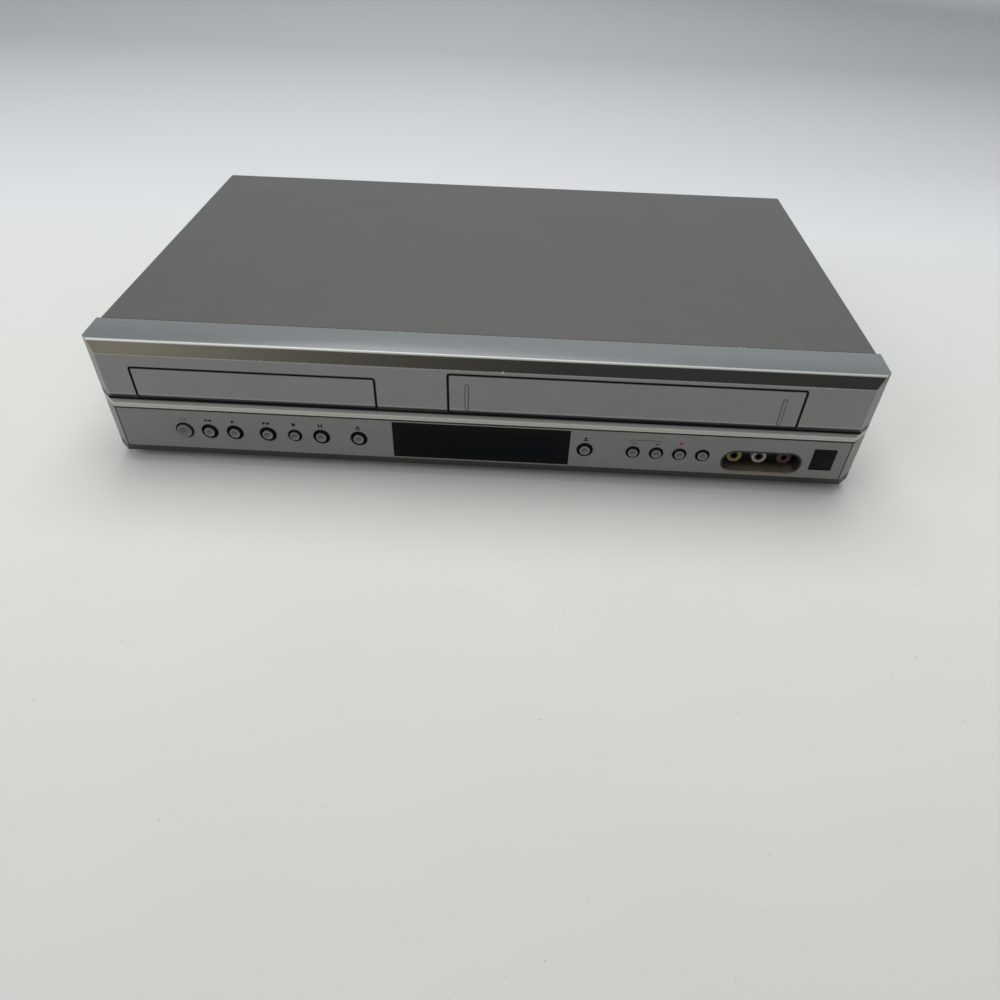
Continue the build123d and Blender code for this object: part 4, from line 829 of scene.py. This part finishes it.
def levels(flat: np.ndarray, height: np.ndarray) -> np.ndarray:
    """A grid from rows of flat points, each row at its own height."""
    level = np.broadcast_to(height[:, None, None], (*flat.shape[:2], 1))
    return np.concatenate([flat, level], axis=-1)


def turned(profile: Sequence[Pair], turns: int) -> np.ndarray:
    """A profile turned about z.

    The point at turn t is (radius cos t, radius sin t, height).

    Args:
        profile: pairs of radius and height.
        turns: points round the axis.

    Returns:
        A grid of points, one row for each pair.
    """
    turn = np.linspace(0.0, 2 * np.pi, turns, endpoint=False)
    radius, height = np.asarray(profile, dtype=float).T
    return levels(radius[:, None, None] * np.stack([np.cos(turn), np.sin(turn)], axis=-1), height)


def carried(outline: np.ndarray, stations: Sequence[Pair]) -> np.ndarray:
    """A closed outline carried through stations.

    At each station a corner moves in along its mitred normal by the inset and up to the height. The
    mitred normal is the sum of the two sides' outward normals over one plus their product.

    Args:
        outline: corners in order against the clock, n by 2.
        stations: pairs of inset and height.

    Returns:
        A grid of points, one row for each station.
    """
    side = np.roll(outline, -1, axis=0) - outline
    side /= np.linalg.norm(side, axis=1, keepdims=True)
    normal = np.stack([side[:, 1], -side[:, 0]], axis=1)
    before = np.roll(normal, 1, axis=0)
    mitre = (normal + before) / (1 + (normal * before).sum(axis=1, keepdims=True))
    inset, height = np.asarray(stations, dtype=float).T
    return levels(outline[None] - inset[:, None, None] * mitre[None], height)


def rounded(width: float, height: float, radius: float, steps: int = 6) -> np.ndarray:
    """A rectangle with round corners, about its middle.

    Each corner is a quarter circle: its centre plus radius times (cos t, sin t).

    Args:
        width: overall width.
        height: overall height.
        radius: radius of the corners.
        steps: spans in each corner.

    Returns:
        Corners against the clock, n by 2.
    """
    quarter = np.linspace(0.0, np.pi / 2, steps + 1)
    turn = (quarter[None] + np.arange(4)[:, None] * np.pi / 2).ravel()
    signs = np.repeat(np.array([(1, 1), (-1, 1), (-1, -1), (1, -1)]), steps + 1, axis=0)
    centre = signs * np.array([width / 2 - radius, height / 2 - radius])
    return centre + radius * np.stack([np.cos(turn), np.sin(turn)], axis=1)


def arc(middle: Pair, reach: Pair, start: float, end: float, count: int) -> list[Pair]:
    """Points on an arc of an ellipse.

    The point at turn t is the middle plus (reach across times cos t, reach up times sin t).

    Args:
        middle: its middle.
        reach: half its width and half its height.
        start: the first turn, in degrees.
        end: the last turn, in degrees.
        count: how many points.

    Returns:
        The points in order.
    """
    turn = np.radians(np.linspace(start, end, count))
    across, up = middle[0] + reach[0] * np.cos(turn), middle[1] + reach[1] * np.sin(turn)
    return list(zip(across.tolist(), up.tolist()))


def round_rim(radius: float, low: float, high: float) -> list[Pair]:
    """Stations from low up to high, whose last edge is rounded."""
    return [(0.0, low), *arc((radius, high - radius), (-radius, radius), 0.0, 90.0, 5)]


def box_of(node: str) -> tuple[np.ndarray, np.ndarray, np.ndarray]:
    """A node's lowest corner, middle and highest corner, in millimetres."""
    low, high = (np.array(corner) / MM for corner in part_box(node))
    return low, (low + high) / 2, high


class Skin:
    """Grids gathered into one mesh."""

    merge: float = 1e-7
    sliver: float = 1e-8
    sharp: float = 38.0

    def __init__(self) -> None:
        """Start with nothing."""
        self.points: list[np.ndarray] = []
        self.faces: list[list[int]] = []
        self.count = 0

    def add(self, grid: np.ndarray, seat: Seat, ends: bool = False) -> "Skin":
        """Add one grid as quads, its last column joined to its first.

        Args:
            grid: rows by columns of points in the seat's own directions.
            seat: where it stands.
            ends: whether the first and last rows are closed.

        Returns:
            The skin, for the next grid.
        """
        rows, columns = grid.shape[:2]
        index = np.arange(rows * columns).reshape(rows, columns) + self.count
        after = np.roll(index, -1, axis=1)
        quads = np.stack([index[:-1], after[:-1], after[1:], index[1:]], axis=-1).reshape(-1, 4)
        self.faces += quads.tolist()
        if ends:
            self.faces += [index[0, ::-1].tolist(), index[-1].tolist()]
        self.points.append(seat.place(grid.reshape(-1, 3)))
        self.count += rows * columns
        return self

    def turn(self, profile: Sequence[Pair], turns: int, seat: Seat) -> "Skin":
        """Add a profile turned about the seat's own z."""
        return self.add(turned(profile, turns), seat)

    def carry(self, outline: np.ndarray, stations: Sequence[Pair], seat: Seat) -> "Skin":
        """Add an outline carried along the seat's own z, closed at both ends."""
        return self.add(carried(outline, stations), seat, ends=True)

    def piece(self, name: str, finish: Finish, body: str, slot: str, *nodes: str) -> None:
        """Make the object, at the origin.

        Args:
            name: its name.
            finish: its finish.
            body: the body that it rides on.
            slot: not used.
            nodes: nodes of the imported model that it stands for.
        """
        mesh = bpy.data.meshes.new(name)
        mesh.from_pydata((np.concatenate(self.points) * MM).tolist(), [], self.faces)
        work = bmesh.new()
        work.from_mesh(mesh)
        bmesh.ops.remove_doubles(work, verts=work.verts, dist=self.merge)
        bmesh.ops.dissolve_degenerate(work, edges=work.edges, dist=self.sliver)
        bmesh.ops.recalc_face_normals(work, faces=work.faces)
        work.to_mesh(mesh)
        work.free()
        mesh.shade_smooth()
        mesh.set_sharp_from_angle(angle=math.radians(self.sharp))
        mesh.materials.append(finish.material())
        made = bpy.data.objects.new(name, mesh)
        bpy.context.scene.collection.objects.link(made)
        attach(made, body)
        if nodes:
            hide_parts(*nodes)
        log.info("%s: %d faces on %s", name, len(mesh.polygons), body)


# ---------- control row
class Mark(Enum):
    """The plain signs over the buttons."""

    POWER = auto()
    REWIND = auto()
    PLAY = auto()
    FORWARD = auto()
    STOP = auto()
    PAUSE = auto()
    EJECT = auto()
    MINUS = auto()
    PLUS = auto()
    DOT = auto()
    NONE = auto()


@dataclass(frozen=True)
class Button:
    """A button's sign, and the radii of its cap and of its hole."""

    mark: Mark
    cap: float = 3.0
    hole: float = 4.5


@dataclass
class ControlRow:
    """The row of buttons, their wells and the signs over them, by heights out of the upper face."""

    turns: int = 56
    dish: float = 0.7
    bowl: float = 0.74
    shoulder: float = 0.45
    flange: float = 1.2
    flange_heights: Pair = (-2.8, -3.8)
    stem: float = 1.5
    big_cap: float = 4.0
    # Strengths of the caps' painted highlights: small caps, then big ones.
    shines: Pair = (0.42, 0.2)
    well_floor: float = -1.6
    shallow_floor: float = -0.4
    narrow: float = 0.6
    well_back: float = -2.4
    clearance: float = 0.15
    gap: float = 0.02
    bend: float = 1.3
    bezel: float = 0.45
    ink: float = 0.03
    sunk: float = -0.02
    sign_rise: float = 7.4
    sign_size: float = 2.4
    low_signs: float = 1.2
    ring_wall: float = 0.2
    bracket_rise: float = 1.0
    bracket_over: float = 1.6
    bracket_drop: float = 1.5
    bracket_thin: float = 0.14
    buttons: dict[str, Button] = field(default_factory=lambda: {
        "power": Button(Mark.POWER, 4.3, 4.8), "rewind": Button(Mark.REWIND), "play": Button(Mark.PLAY),
        "fast_forward": Button(Mark.FORWARD), "stop": Button(Mark.STOP, 2.75, 3.7),
        "pause": Button(Mark.PAUSE), "open_close": Button(Mark.EJECT),
        "eject": Button(Mark.EJECT, 3.0, 4.3),
        "tracking_down": Button(Mark.MINUS, 2.75, 3.7), "tracking_up": Button(Mark.PLUS, 2.75, 3.7),
        "record": Button(Mark.DOT, 2.75, 3.7), "source": Button(Mark.NONE, 2.75, 3.7),
    })

    def cap_profile(self, button: Button, front: float, back: float) -> list[Pair]:
        """The cap from its dished middle out over its shoulder, then the flange and the stem.

        The dish is a bowl: height is the rim's less dish times (1 - (r / bowl) squared).
        """
        cap, wide, (fore, aft) = button.cap, button.hole + self.flange, self.flange_heights
        bowl, round_r = self.bowl * cap, self.shoulder
        radius = np.linspace(0.0, bowl, 7)
        dish = front - self.dish * (1 - (radius / bowl) ** 2)
        edge = arc((cap - round_r, front - round_r), (round_r, round_r), 90.0, 0.0, 6)
        return [*zip(radius.tolist(), dish.tolist()), *edge, (cap, fore), (wide, fore), (wide, aft),
                (self.stem, aft), (self.stem, back), (0.0, back)]

    def caps(self) -> None:
        """Each button as one turned piece in place of its node."""
        for name, button in self.buttons.items():
            node = name + "_button"
            low, (x, _, z), high = box_of(node)
            profile = self.cap_profile(button, FACE_Y - low[1], FACE_Y - high[1])
            finish = CapFinish(name + "_silver", (90, 91, 90), 0.36, 0.25, depth=0.006, grain=0.3,
                               cx=float(x), cz=float(z), cap=button.cap,
                               shine=self.shines[button.cap > self.big_cap])
            Skin().turn(profile, self.turns, facing(FRONT, x, FACE_Y, z)).piece(
                name + "_cap", finish, node, "button_plastic", node)

    def wells(self) -> None:
        """The dished rings round the caps, near black as painted shade: a thin lip, and a cone down to
        the cap.
        """
        skin = Skin()
        for name, button in self.buttons.items():
            x, _, z = box_of(name + "_button")[1]
            inner, outer = button.cap + self.clearance, button.hole - self.gap
            lip, rim = button.hole + self.bezel, PROUD + self.ink
            deep = self.well_floor if button.hole - button.cap > self.narrow else self.shallow_floor
            share = np.linspace(0.0, 1.0, 6)
            cone = zip((outer - (outer - inner) * share).tolist(),
                       (rim + (deep - rim) * share ** self.bend).tolist())
            profile = [(outer, self.well_back), (outer, PROUD), (lip, PROUD), (lip, rim), *cone,
                       (inner, self.well_back), (outer, self.well_back)]
            skin.turn(profile, self.turns, facing(FRONT, x, FACE_Y, z))
        skin.piece("button_well_shade_rings", BUTTON_WELL_SHADE, "case", "silver_plastic")

    def sign(self, mark: Mark) -> list[np.ndarray]:
        """The outlines of one sign about its middle, against the clock, drawn at a size of one."""
        right = np.array([(-0.4, -0.45), (0.5, 0.0), (-0.4, 0.45)])
        left = right[::-1] * (-1, 1)
        up = np.array([(-0.55, -0.1), (0.55, -0.1), (0.0, 0.6)])
        bar = rounded(0.34, 1.0, 0.03, 2)
        arm = np.array([(0.09, 0.09), (0.09, 0.42), (-0.09, 0.42)])
        aside = arm[:, ::-1] * (-1, 1)
        outlines = {
            Mark.REWIND: [left - (0.5, 0), left + (0.5, 0)],
            Mark.PLAY: [right * 1.1],
            Mark.FORWARD: [right - (0.5, 0), right + (0.5, 0)],
            Mark.STOP: [rounded(0.85, 0.85, 0.05, 2)],
            Mark.PAUSE: [bar - (0.32, 0), bar + (0.32, 0)],
            Mark.EJECT: [up, rounded(1.1, 0.26, 0.03, 2) - (0, 0.42)],
            Mark.MINUS: [rounded(0.8, 0.16, 0.03, 2)],
            Mark.PLUS: [np.concatenate([arm, aside, -arm, -aside])],
            Mark.DOT: [np.array(arc((0.0, 0.0), (0.42, 0.42), 0.0, 345.0, 24))],
            Mark.NONE: [],
            Mark.POWER: [bar * (0.4, 0.9) + (0.9, 0)],
        }
        return [outline * self.sign_size for outline in outlines[mark]]

    def printed(self) -> None:
        """The signs as thin ink on the lower face, and the bracket over the pair of small buttons."""
        ink, red, y = Skin(), Skin(), FACE_Y - PROUD
        edge = [(0.0, self.sunk), (0.0, self.ink * 0.7)]
        for name, button in self.buttons.items():
            x, _, z = box_of(name + "_button")[1]
            rise = self.sign_rise - (self.low_signs if button.mark in (Mark.MINUS, Mark.PLUS) else 0.0)
            for outline in self.sign(button.mark):
                skin = red if button.mark is Mark.DOT else ink
                skin.carry(outline, [*edge, (self.ink, self.ink)], facing(FRONT, x, y, z + rise))
            if button.mark is Mark.POWER:
                ring = 0.5 * self.sign_size
                thin = ring - self.ring_wall
                wall = [(ring, 0.0), (ring, self.ink), (thin, self.ink), (thin, 0.0), (ring, 0.0)]
                ink.turn(wall, 32, facing(FRONT, x - 0.5, y, z + rise))
        left, _, z = box_of("tracking_down_button")[1]
        right = box_of("tracking_up_button")[1][0]
        wide, drop, thin = (right - left) / 2 + self.bracket_over, self.bracket_drop, self.bracket_thin
        bracket = np.array([(-wide - thin, -drop), (-wide + thin, -drop), (-wide + thin, -thin),
                            (wide - thin, -thin), (wide - thin, -drop), (wide + thin, -drop),
                            (wide + thin, thin), (-wide - thin, thin)])
        seat = facing(FRONT, (left + right) / 2, y, z + self.sign_rise + self.bracket_rise)
        ink.carry(bracket, [*edge, (self.ink / 2, self.ink)], seat)
        ink.piece("control_signs", PRINT, "case", "black_plastic")
        red.piece("record_sign", RED, "case", "red_plastic")

    def build(self) -> None:
        """All of the row."""
        self.caps()
        self.wells()
        self.printed()


# ---------- front trim
@dataclass
class FrontTrim:
    """The window, the grips of the cassette door and the bare patch at the right end."""

    pane_size: Pair = (100.4, 24.1)
    pane_corner: float = 0.4
    pane_edge: float = 0.35
    pane_back: float = 2.5
    pane_drop: float = 54.1
    rim_corner: float = 1.0
    grip_size: Pair = (1.5, 16.5)
    grip_round: float = 0.36
    grip_heights: Pair = (-0.3, 0.4)
    grip_places: Pair = (-8.0, 162.0)
    grip_drop: float = 23.6
    patch_size: Pair = (12.8, 14.7)
    patch_corner: float = 0.5
    patch_place: Pair = (193.1, 53.8)
    patch_edge: tuple[Pair, ...] = ((0.0, -0.02), (0.0, 0.05), (0.04, 0.08))

    def window(self) -> None:
        """The pane with a rounded front edge, and its rim behind the panel, in place of its node."""
        low, (x, _, z), high = box_of("display_window")
        inner = FACE_Y + self.pane_back
        pane = rounded(*self.pane_size, self.pane_corner)
        rim = rounded(high[0] - low[0], high[2] - low[2], self.rim_corner)
        skin = Skin().carry(pane, round_rim(self.pane_edge, 0.0, inner - low[1]),
                            facing(FRONT, x, inner, TOP - self.pane_drop))
        skin.carry(rim, [(0.0, 0.0), (0.0, high[1] - inner)], facing(FRONT, x, high[1], z))
        skin.piece("window_pane", WINDOW, "case", "window_plastic", "display_window")

    def grips(self) -> None:
        """Two slim upright ribs on the cassette door, half round, with round ends."""
        skin = Skin()
        outline = rounded(*self.grip_size, self.grip_size[0] / 2 - 0.01, 8)
        for x in self.grip_places:
            seat = facing(FRONT, x, FACE_Y, TOP - self.grip_drop)
            skin.carry(outline, round_rim(self.grip_round, *self.grip_heights), seat)
        skin.piece("door_grips", DOOR, "cassette_door", "silver_plastic")

    def patch(self) -> None:
        """A bare dark patch of film."""
        x, drop = self.patch_place
        seat = facing(FRONT, x, FACE_Y - PROUD, TOP - drop)
        Skin().carry(rounded(*self.patch_size, self.patch_corner), self.patch_edge, seat).piece(
            "bare_patch", PATCH, "case", "black_plastic")

    def build(self) -> None:
        """All of the trim."""
        self.window()
        self.grips()
        self.patch()


# ---------- jacks
@dataclass
class CableBay:
    """The three round jacks in the front pocket. The mouth's heights are from the barrel's end."""

    outer: float = 4.15
    barrel: float = 7.2
    lip: float = 0.35
    mouth: tuple[Pair, ...] = ((2.75, 0.0), (2.6, -0.25), (2.45, -0.1), (2.0, -0.1), (1.7, -0.3))
    base_side: float = 10.5
    base_corner: float = 0.5
    base_edge: float = 0.3
    # The collars' colours are darkened: painted shade of the pocket.
    jacks: dict[str, tuple[Colour, str]] = field(default_factory=lambda: {
        "video_jack": ((146, 135, 62), "yellow_plastic"),
        "left_audio_jack": ((166, 152, 146), "pale_plastic"),
        "right_audio_jack": ((70, 32, 30), "red_plastic"),
    })

    def build(self) -> None:
        """Each jack, in place of its node: a barrel with a stepped mouth on a square base."""
        square = rounded(self.base_side, self.base_side, self.base_corner)
        for node, (colour, slot) in self.jacks.items():
            low, (x, _, z), high = box_of(node)
            long = high[1] - low[1]
            base = long - self.barrel
            edge = arc((self.outer - self.lip, long - self.lip), (self.lip, self.lip), 0.0, 90.0, 6)
            mouth = [(radius, long + height) for radius, height in self.mouth]
            profile = [(0.0, base), (self.outer, base), *edge, *mouth, (mouth[-1][0], base),
                       (0.0, base)]
            seat = facing(FRONT, x, high[1], z)
            skin = Skin().turn(profile, 48, seat)
            skin.carry(square, round_rim(self.base_edge, 0.0, base), seat)
            finish = JackFinish(node + "_plastic", colour, 0.4, depth=0.01, cx=float(x), cz=float(z))
            skin.piece(node + "_ring", finish, "case", slot, node)


# ---------- shells
@dataclass
class Fastenings:
    """The feet under the case, and the screws in its sides and back."""

    foot_radius: float = 11.0
    foot_height: float = 5.5
    foot_edge: float = 1.2
    hollow: tuple[Pair, ...] = ((7.8, 0.0), (7.2, 0.6), (4.5, 0.6), (0.0, 0.6))
    foot_places: Pair = (170.0, 91.25)
    head_radius: float = 3.2
    head_height: float = 1.0
    head_side: float = 0.35
    dome: float = 0.92
    cross_half: float = 0.42
    cross_depth: float = 0.55
    shank_radius: float = 1.4
    shank_length: float = 5.0
    shank_tip: float = 0.5
    turns: int = 64
    side_x: float = 214.0
    side_places: tuple[Pair, ...] = ((-53.25, 13.0), (75.65, 13.0))
    back_places: tuple[Pair, ...] = ((-202.0, 70.5), (0.0, 70.5), (202.0, 70.5))

    def feet(self) -> None:
        """Four feet: a soft ring with a rounded lower edge and a hollow in the middle of its sole."""
        radius, edge = self.foot_radius, self.foot_edge
        profile = [(0.0, self.foot_height), (radius, self.foot_height),
                   *arc((radius - edge, edge), (edge, edge), 0.0, -90.0, 7), *self.hollow]
        skin = Skin()
        for sx, sy in product((-1, 1), repeat=2):
            skin.turn(profile, 56, Seat((sx * self.foot_places[0], sy * self.foot_places[1], 0.0)))
        skin.piece("soft_feet", RUBBER, "case", "rubber", "feet")

    def head(self) -> np.ndarray:
        """A pan head with a cross recess.

        Height is a dome, top times the root of 1 - (dome r / edge) squared, less a cross: the deeper of
        two smooth bars along x and y that fade out at 64 percent of the radius.
        """
        ring = np.linspace(0.0, 1.0, 15)[:, None]
        turn = np.linspace(0.0, 2 * np.pi, self.turns, endpoint=False)[None]
        x, y = self.head_radius * ring * np.cos(turn), self.head_radius * ring * np.sin(turn)
        dome = self.head_height * np.sqrt(1 - (self.dome * ring) ** 2)
        fade = np.clip(1.6 - ring / 0.4, 0.0, 1.0)
        cross = fade * np.maximum(*(np.exp(-((way / self.cross_half) ** 4)) for way in (x, y)))
        return np.stack([x, y, dome - self.cross_depth * cross], axis=-1)

    def screws(self) -> None:
        """Seven screws with their shanks, in place of their node."""
        seats = [facing((float(side), 0.0), side * self.side_x, y, z)
                 for side in (-1, 1) for y, z in self.side_places]
        seats += [facing(BACK, x, BACK_Y, z) for x, z in self.back_places]
        shank, tip = self.shank_radius, self.shank_tip
        body = [(self.head_radius, self.head_side), (self.head_radius, 0.0), (shank, 0.0),
                (shank, tip - self.shank_length), (shank - tip, -self.shank_length),
                (0.0, -self.shank_length)]
        skin = Skin()
        for seat in seats:
            skin.add(np.concatenate([self.head(), turned(body, self.turns)]), seat)
        skin.piece("case_screws", SCREW, "case", "screw_steel", "cover_screws")

    def build(self) -> None:
        """Feet and screws."""
        self.feet()
        self.screws()


# ---------- inside
@dataclass
class Mechanism:
    """Finer pieces of the loader and of the tape deck."""

    lens_place: Pair = (-124.35, -28.15)
    lens_radius: float = 2.5
    lens_height: float = 0.9
    lens_foot: float = -1.2
    drum_place: Pair = (73.0, 48.85)
    drum_shades: tuple[tuple[str, int], ...] = (("lower_drum", 140), ("upper_drum", 158))

    def lens(self) -> None:
        """The lens on the sled: a dome on the sled's own post."""
        radius, rise = self.lens_radius, self.lens_height
        dome = arc((0.0, -rise), (radius, rise), 90.0, 0.0, 9)
        seat = Seat((*self.lens_place, box_of("pickup_sled")[2][2] + rise))
        Skin().turn([*dome, (radius, self.lens_foot), (0.0, self.lens_foot)], 40, seat).piece(
            "pickup_lens", LENS, "sled", "window_plastic")

    def build(self) -> None:
        """The lens, and turned metal on both halves of the drum."""
        self.lens()
        cx, cy = self.drum_place
        for node, shade in self.drum_shades:
            colour = (shade, shade + 1, shade + 2)
            dress(node, TurnedFinish("turned_" + node, colour, 0.26, 1.0, cx=cx, cy=cy))


def dress(node: str, finish: Finish) -> None:
    """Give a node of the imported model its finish.

    Args:
        node: its name.
        finish: the finish.
    """
    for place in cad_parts[node].material_slots:
        place.link = "OBJECT"
        place.material = finish.material()
    log.info("%s: %s", node, finish.name)


def soften(node: str, width: float) -> None:
    """Round a node's sharp edges with live modifiers.

    Args:
        node: its name.
        width: how far the rounding reaches, in millimetres.
    """
    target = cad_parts[node]
    target.modifiers.new("joined", "WELD").merge_threshold = 1e-6
    flat = target.modifiers.new("flat", "DECIMATE")
    flat.decimate_type, flat.angle_limit = "DISSOLVE", math.radians(1.0)
    edge = target.modifiers.new("edge", "BEVEL")
    edge.limit_method, edge.angle_limit = "ANGLE", math.radians(20.0)
    edge.width, edge.segments, edge.harden_normals = width * MM, 2, True
    edge.use_clamp_overlap = True


# ---------- studio
@dataclass
class Studio:
    """The pale sweep, the soft lights and the camera.

    A lamp is its name, its place and the point that it faces in metres, its side in metres and its
    power in watts.
    """

    eye: Point = (19.75, -471.69, 284.17)
    pitch: float = 41.575
    yaw: float = -1.31
    roll: float = 2.02
    focal: float = 27.04
    sensor: float = 36.0
    clip: Pair = (0.01, 20.0)
    sweep_back: float = 3800.0
    sweep_radius: float = 900.0
    sweep_front: float = -5000.0
    sweep_half: float = 5000.0
    sweep_high: float = 1900.0
    sky: Linear = (0.93, 0.97, 1.0, 1.0)
    wall: Linear = (0.62, 0.64, 0.64, 1.0)
    sky_strength: float = 0.36
    lamps: tuple[tuple[str, Point, Point, float, float], ...] = (
        ("ceiling", (0.05, 0.6, 1.9), (0.0, 0.1, 0.0), 1.8, 27.0),
        ("window_side", (-1.1, -0.8, 0.9), (-0.05, 0.0, 0.0), 1.0, 5.0),
    )

    def sweep(self) -> None:
        """The floor and backdrop: a straight run, a quarter circle and a wall, drawn out sideways."""
        back, radius = self.sweep_back, self.sweep_radius
        turn = arc((back, radius), (radius, radius), -90.0, 0.0, 24)
        y, z = np.array([(self.sweep_front, 0.0), *turn, (back + radius, self.sweep_high)]).T
        x = np.linspace(-self.sweep_half, self.sweep_half, 17)
        grid = np.stack(np.broadcast_arrays(x[:, None], y[None], z[None]), axis=-1) * MM
        rows, columns = grid.shape[:2]
        index = np.arange(rows * columns).reshape(rows, columns)
        quads = np.stack([index[:-1, :-1], index[1:, :-1], index[1:, 1:], index[:-1, 1:]], axis=-1)
        mesh = bpy.data.meshes.new("paper_sweep")
        mesh.from_pydata(grid.reshape(-1, 3).tolist(), [], quads.reshape(-1, 4).tolist())
        mesh.shade_smooth()
        mesh.materials.append(PAPER.material())
        paper = bpy.data.objects.new("paper_sweep", mesh)
        bpy.context.scene.collection.objects.link(paper)

    @staticmethod
    def looking(place: np.ndarray, way: np.ndarray, roll: float = 0.0) -> Matrix:
        """The matrix of a lamp or camera at a place that looks along a way, turned by roll degrees."""
        right = np.cross(way, (0.0, 0.0, 1.0))
        right /= np.linalg.norm(right)
        up = np.cross(right, way)
        cos, sin = math.cos(math.radians(roll)), math.sin(math.radians(roll))
        whole = np.eye(4)
        whole[:3, :3] = np.stack([right * cos + up * sin, up * cos - right * sin, -way], axis=1)
        whole[:3, 3] = place
        return Matrix(whole.tolist())

    def light(self) -> None:
        """The lamps: square, soft and unseen."""
        for name, place, aim, size, power in self.lamps:
            data = bpy.data.lights.new(name, "AREA")
            data.shape, data.size, data.energy = "SQUARE", size, power
            lamp = bpy.data.objects.new(name, data)
            way = np.array(aim) - np.array(place)
            lamp.matrix_world = self.looking(np.array(place), way / np.linalg.norm(way))
            lamp.visible_camera = False
            bpy.context.scene.collection.objects.link(lamp)

    def camera(self) -> None:
        """The camera at the photograph's viewing angle."""
        data = bpy.data.cameras.new("camera")
        data.sensor_width, data.lens = self.sensor, self.focal
        data.clip_start, data.clip_end = self.clip
        pitch, yaw = math.radians(self.pitch), math.radians(self.yaw)
        level = math.cos(pitch)
        way = np.array([math.sin(yaw) * level, math.cos(yaw) * level, -math.sin(pitch)])
        made = bpy.data.objects.new("camera", data)
        made.matrix_world = self.looking(np.array(self.eye) * MM, way, self.roll)
        bpy.context.scene.collection.objects.link(made)
        bpy.context.scene.camera = made

    def world(self) -> None:
        """An even pale sky: its own light on the object, and a pale wall to the camera."""
        sky = bpy.data.worlds.new("sky")
        sky.use_nodes = True
        tree = sky.node_tree
        back = tree.nodes["Background"]
        kinds = ("LightPath", "Mix", "MapRange")
        ray, shade, power = (tree.nodes.new("ShaderNode" + kind) for kind in kinds)
        shade.data_type = "RGBA"
        shade.inputs[6].default_value, shade.inputs[7].default_value = self.sky, self.wall
        power.inputs["To Min"].default_value = self.sky_strength
        power.inputs["To Max"].default_value = 1.0
        seen = ray.outputs["Is Camera Ray"]
        tree.links.new(seen, shade.inputs[0])
        tree.links.new(seen, power.inputs["Value"])
        tree.links.new(shade.outputs[2], back.inputs["Color"])
        tree.links.new(power.outputs["Result"], back.inputs["Strength"])
        bpy.context.scene.world = sky

    def build(self) -> None:
        """Set everything up."""
        self.sweep()
        self.light()
        self.world()
        self.camera()
        bpy.context.scene.view_settings.view_transform = "Standard"
        log.info("studio: sweep, %d lamps, camera", len(self.lamps))


def main() -> None:
    """Build the classes in order."""
    logging.basicConfig(level=logging.INFO, format="%(name)s %(message)s")
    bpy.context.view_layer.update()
    Studio().build()
    for finish, nodes in CARRIED.items():
        for node in nodes.split():
            dress(node, finish)
    for node, width in SOFTENED.items():
        soften(node, width)
    for part in (ControlRow, FrontTrim, CableBay, Fastenings, Mechanism):
        part().build()


if __name__ == "__main__":
    main()
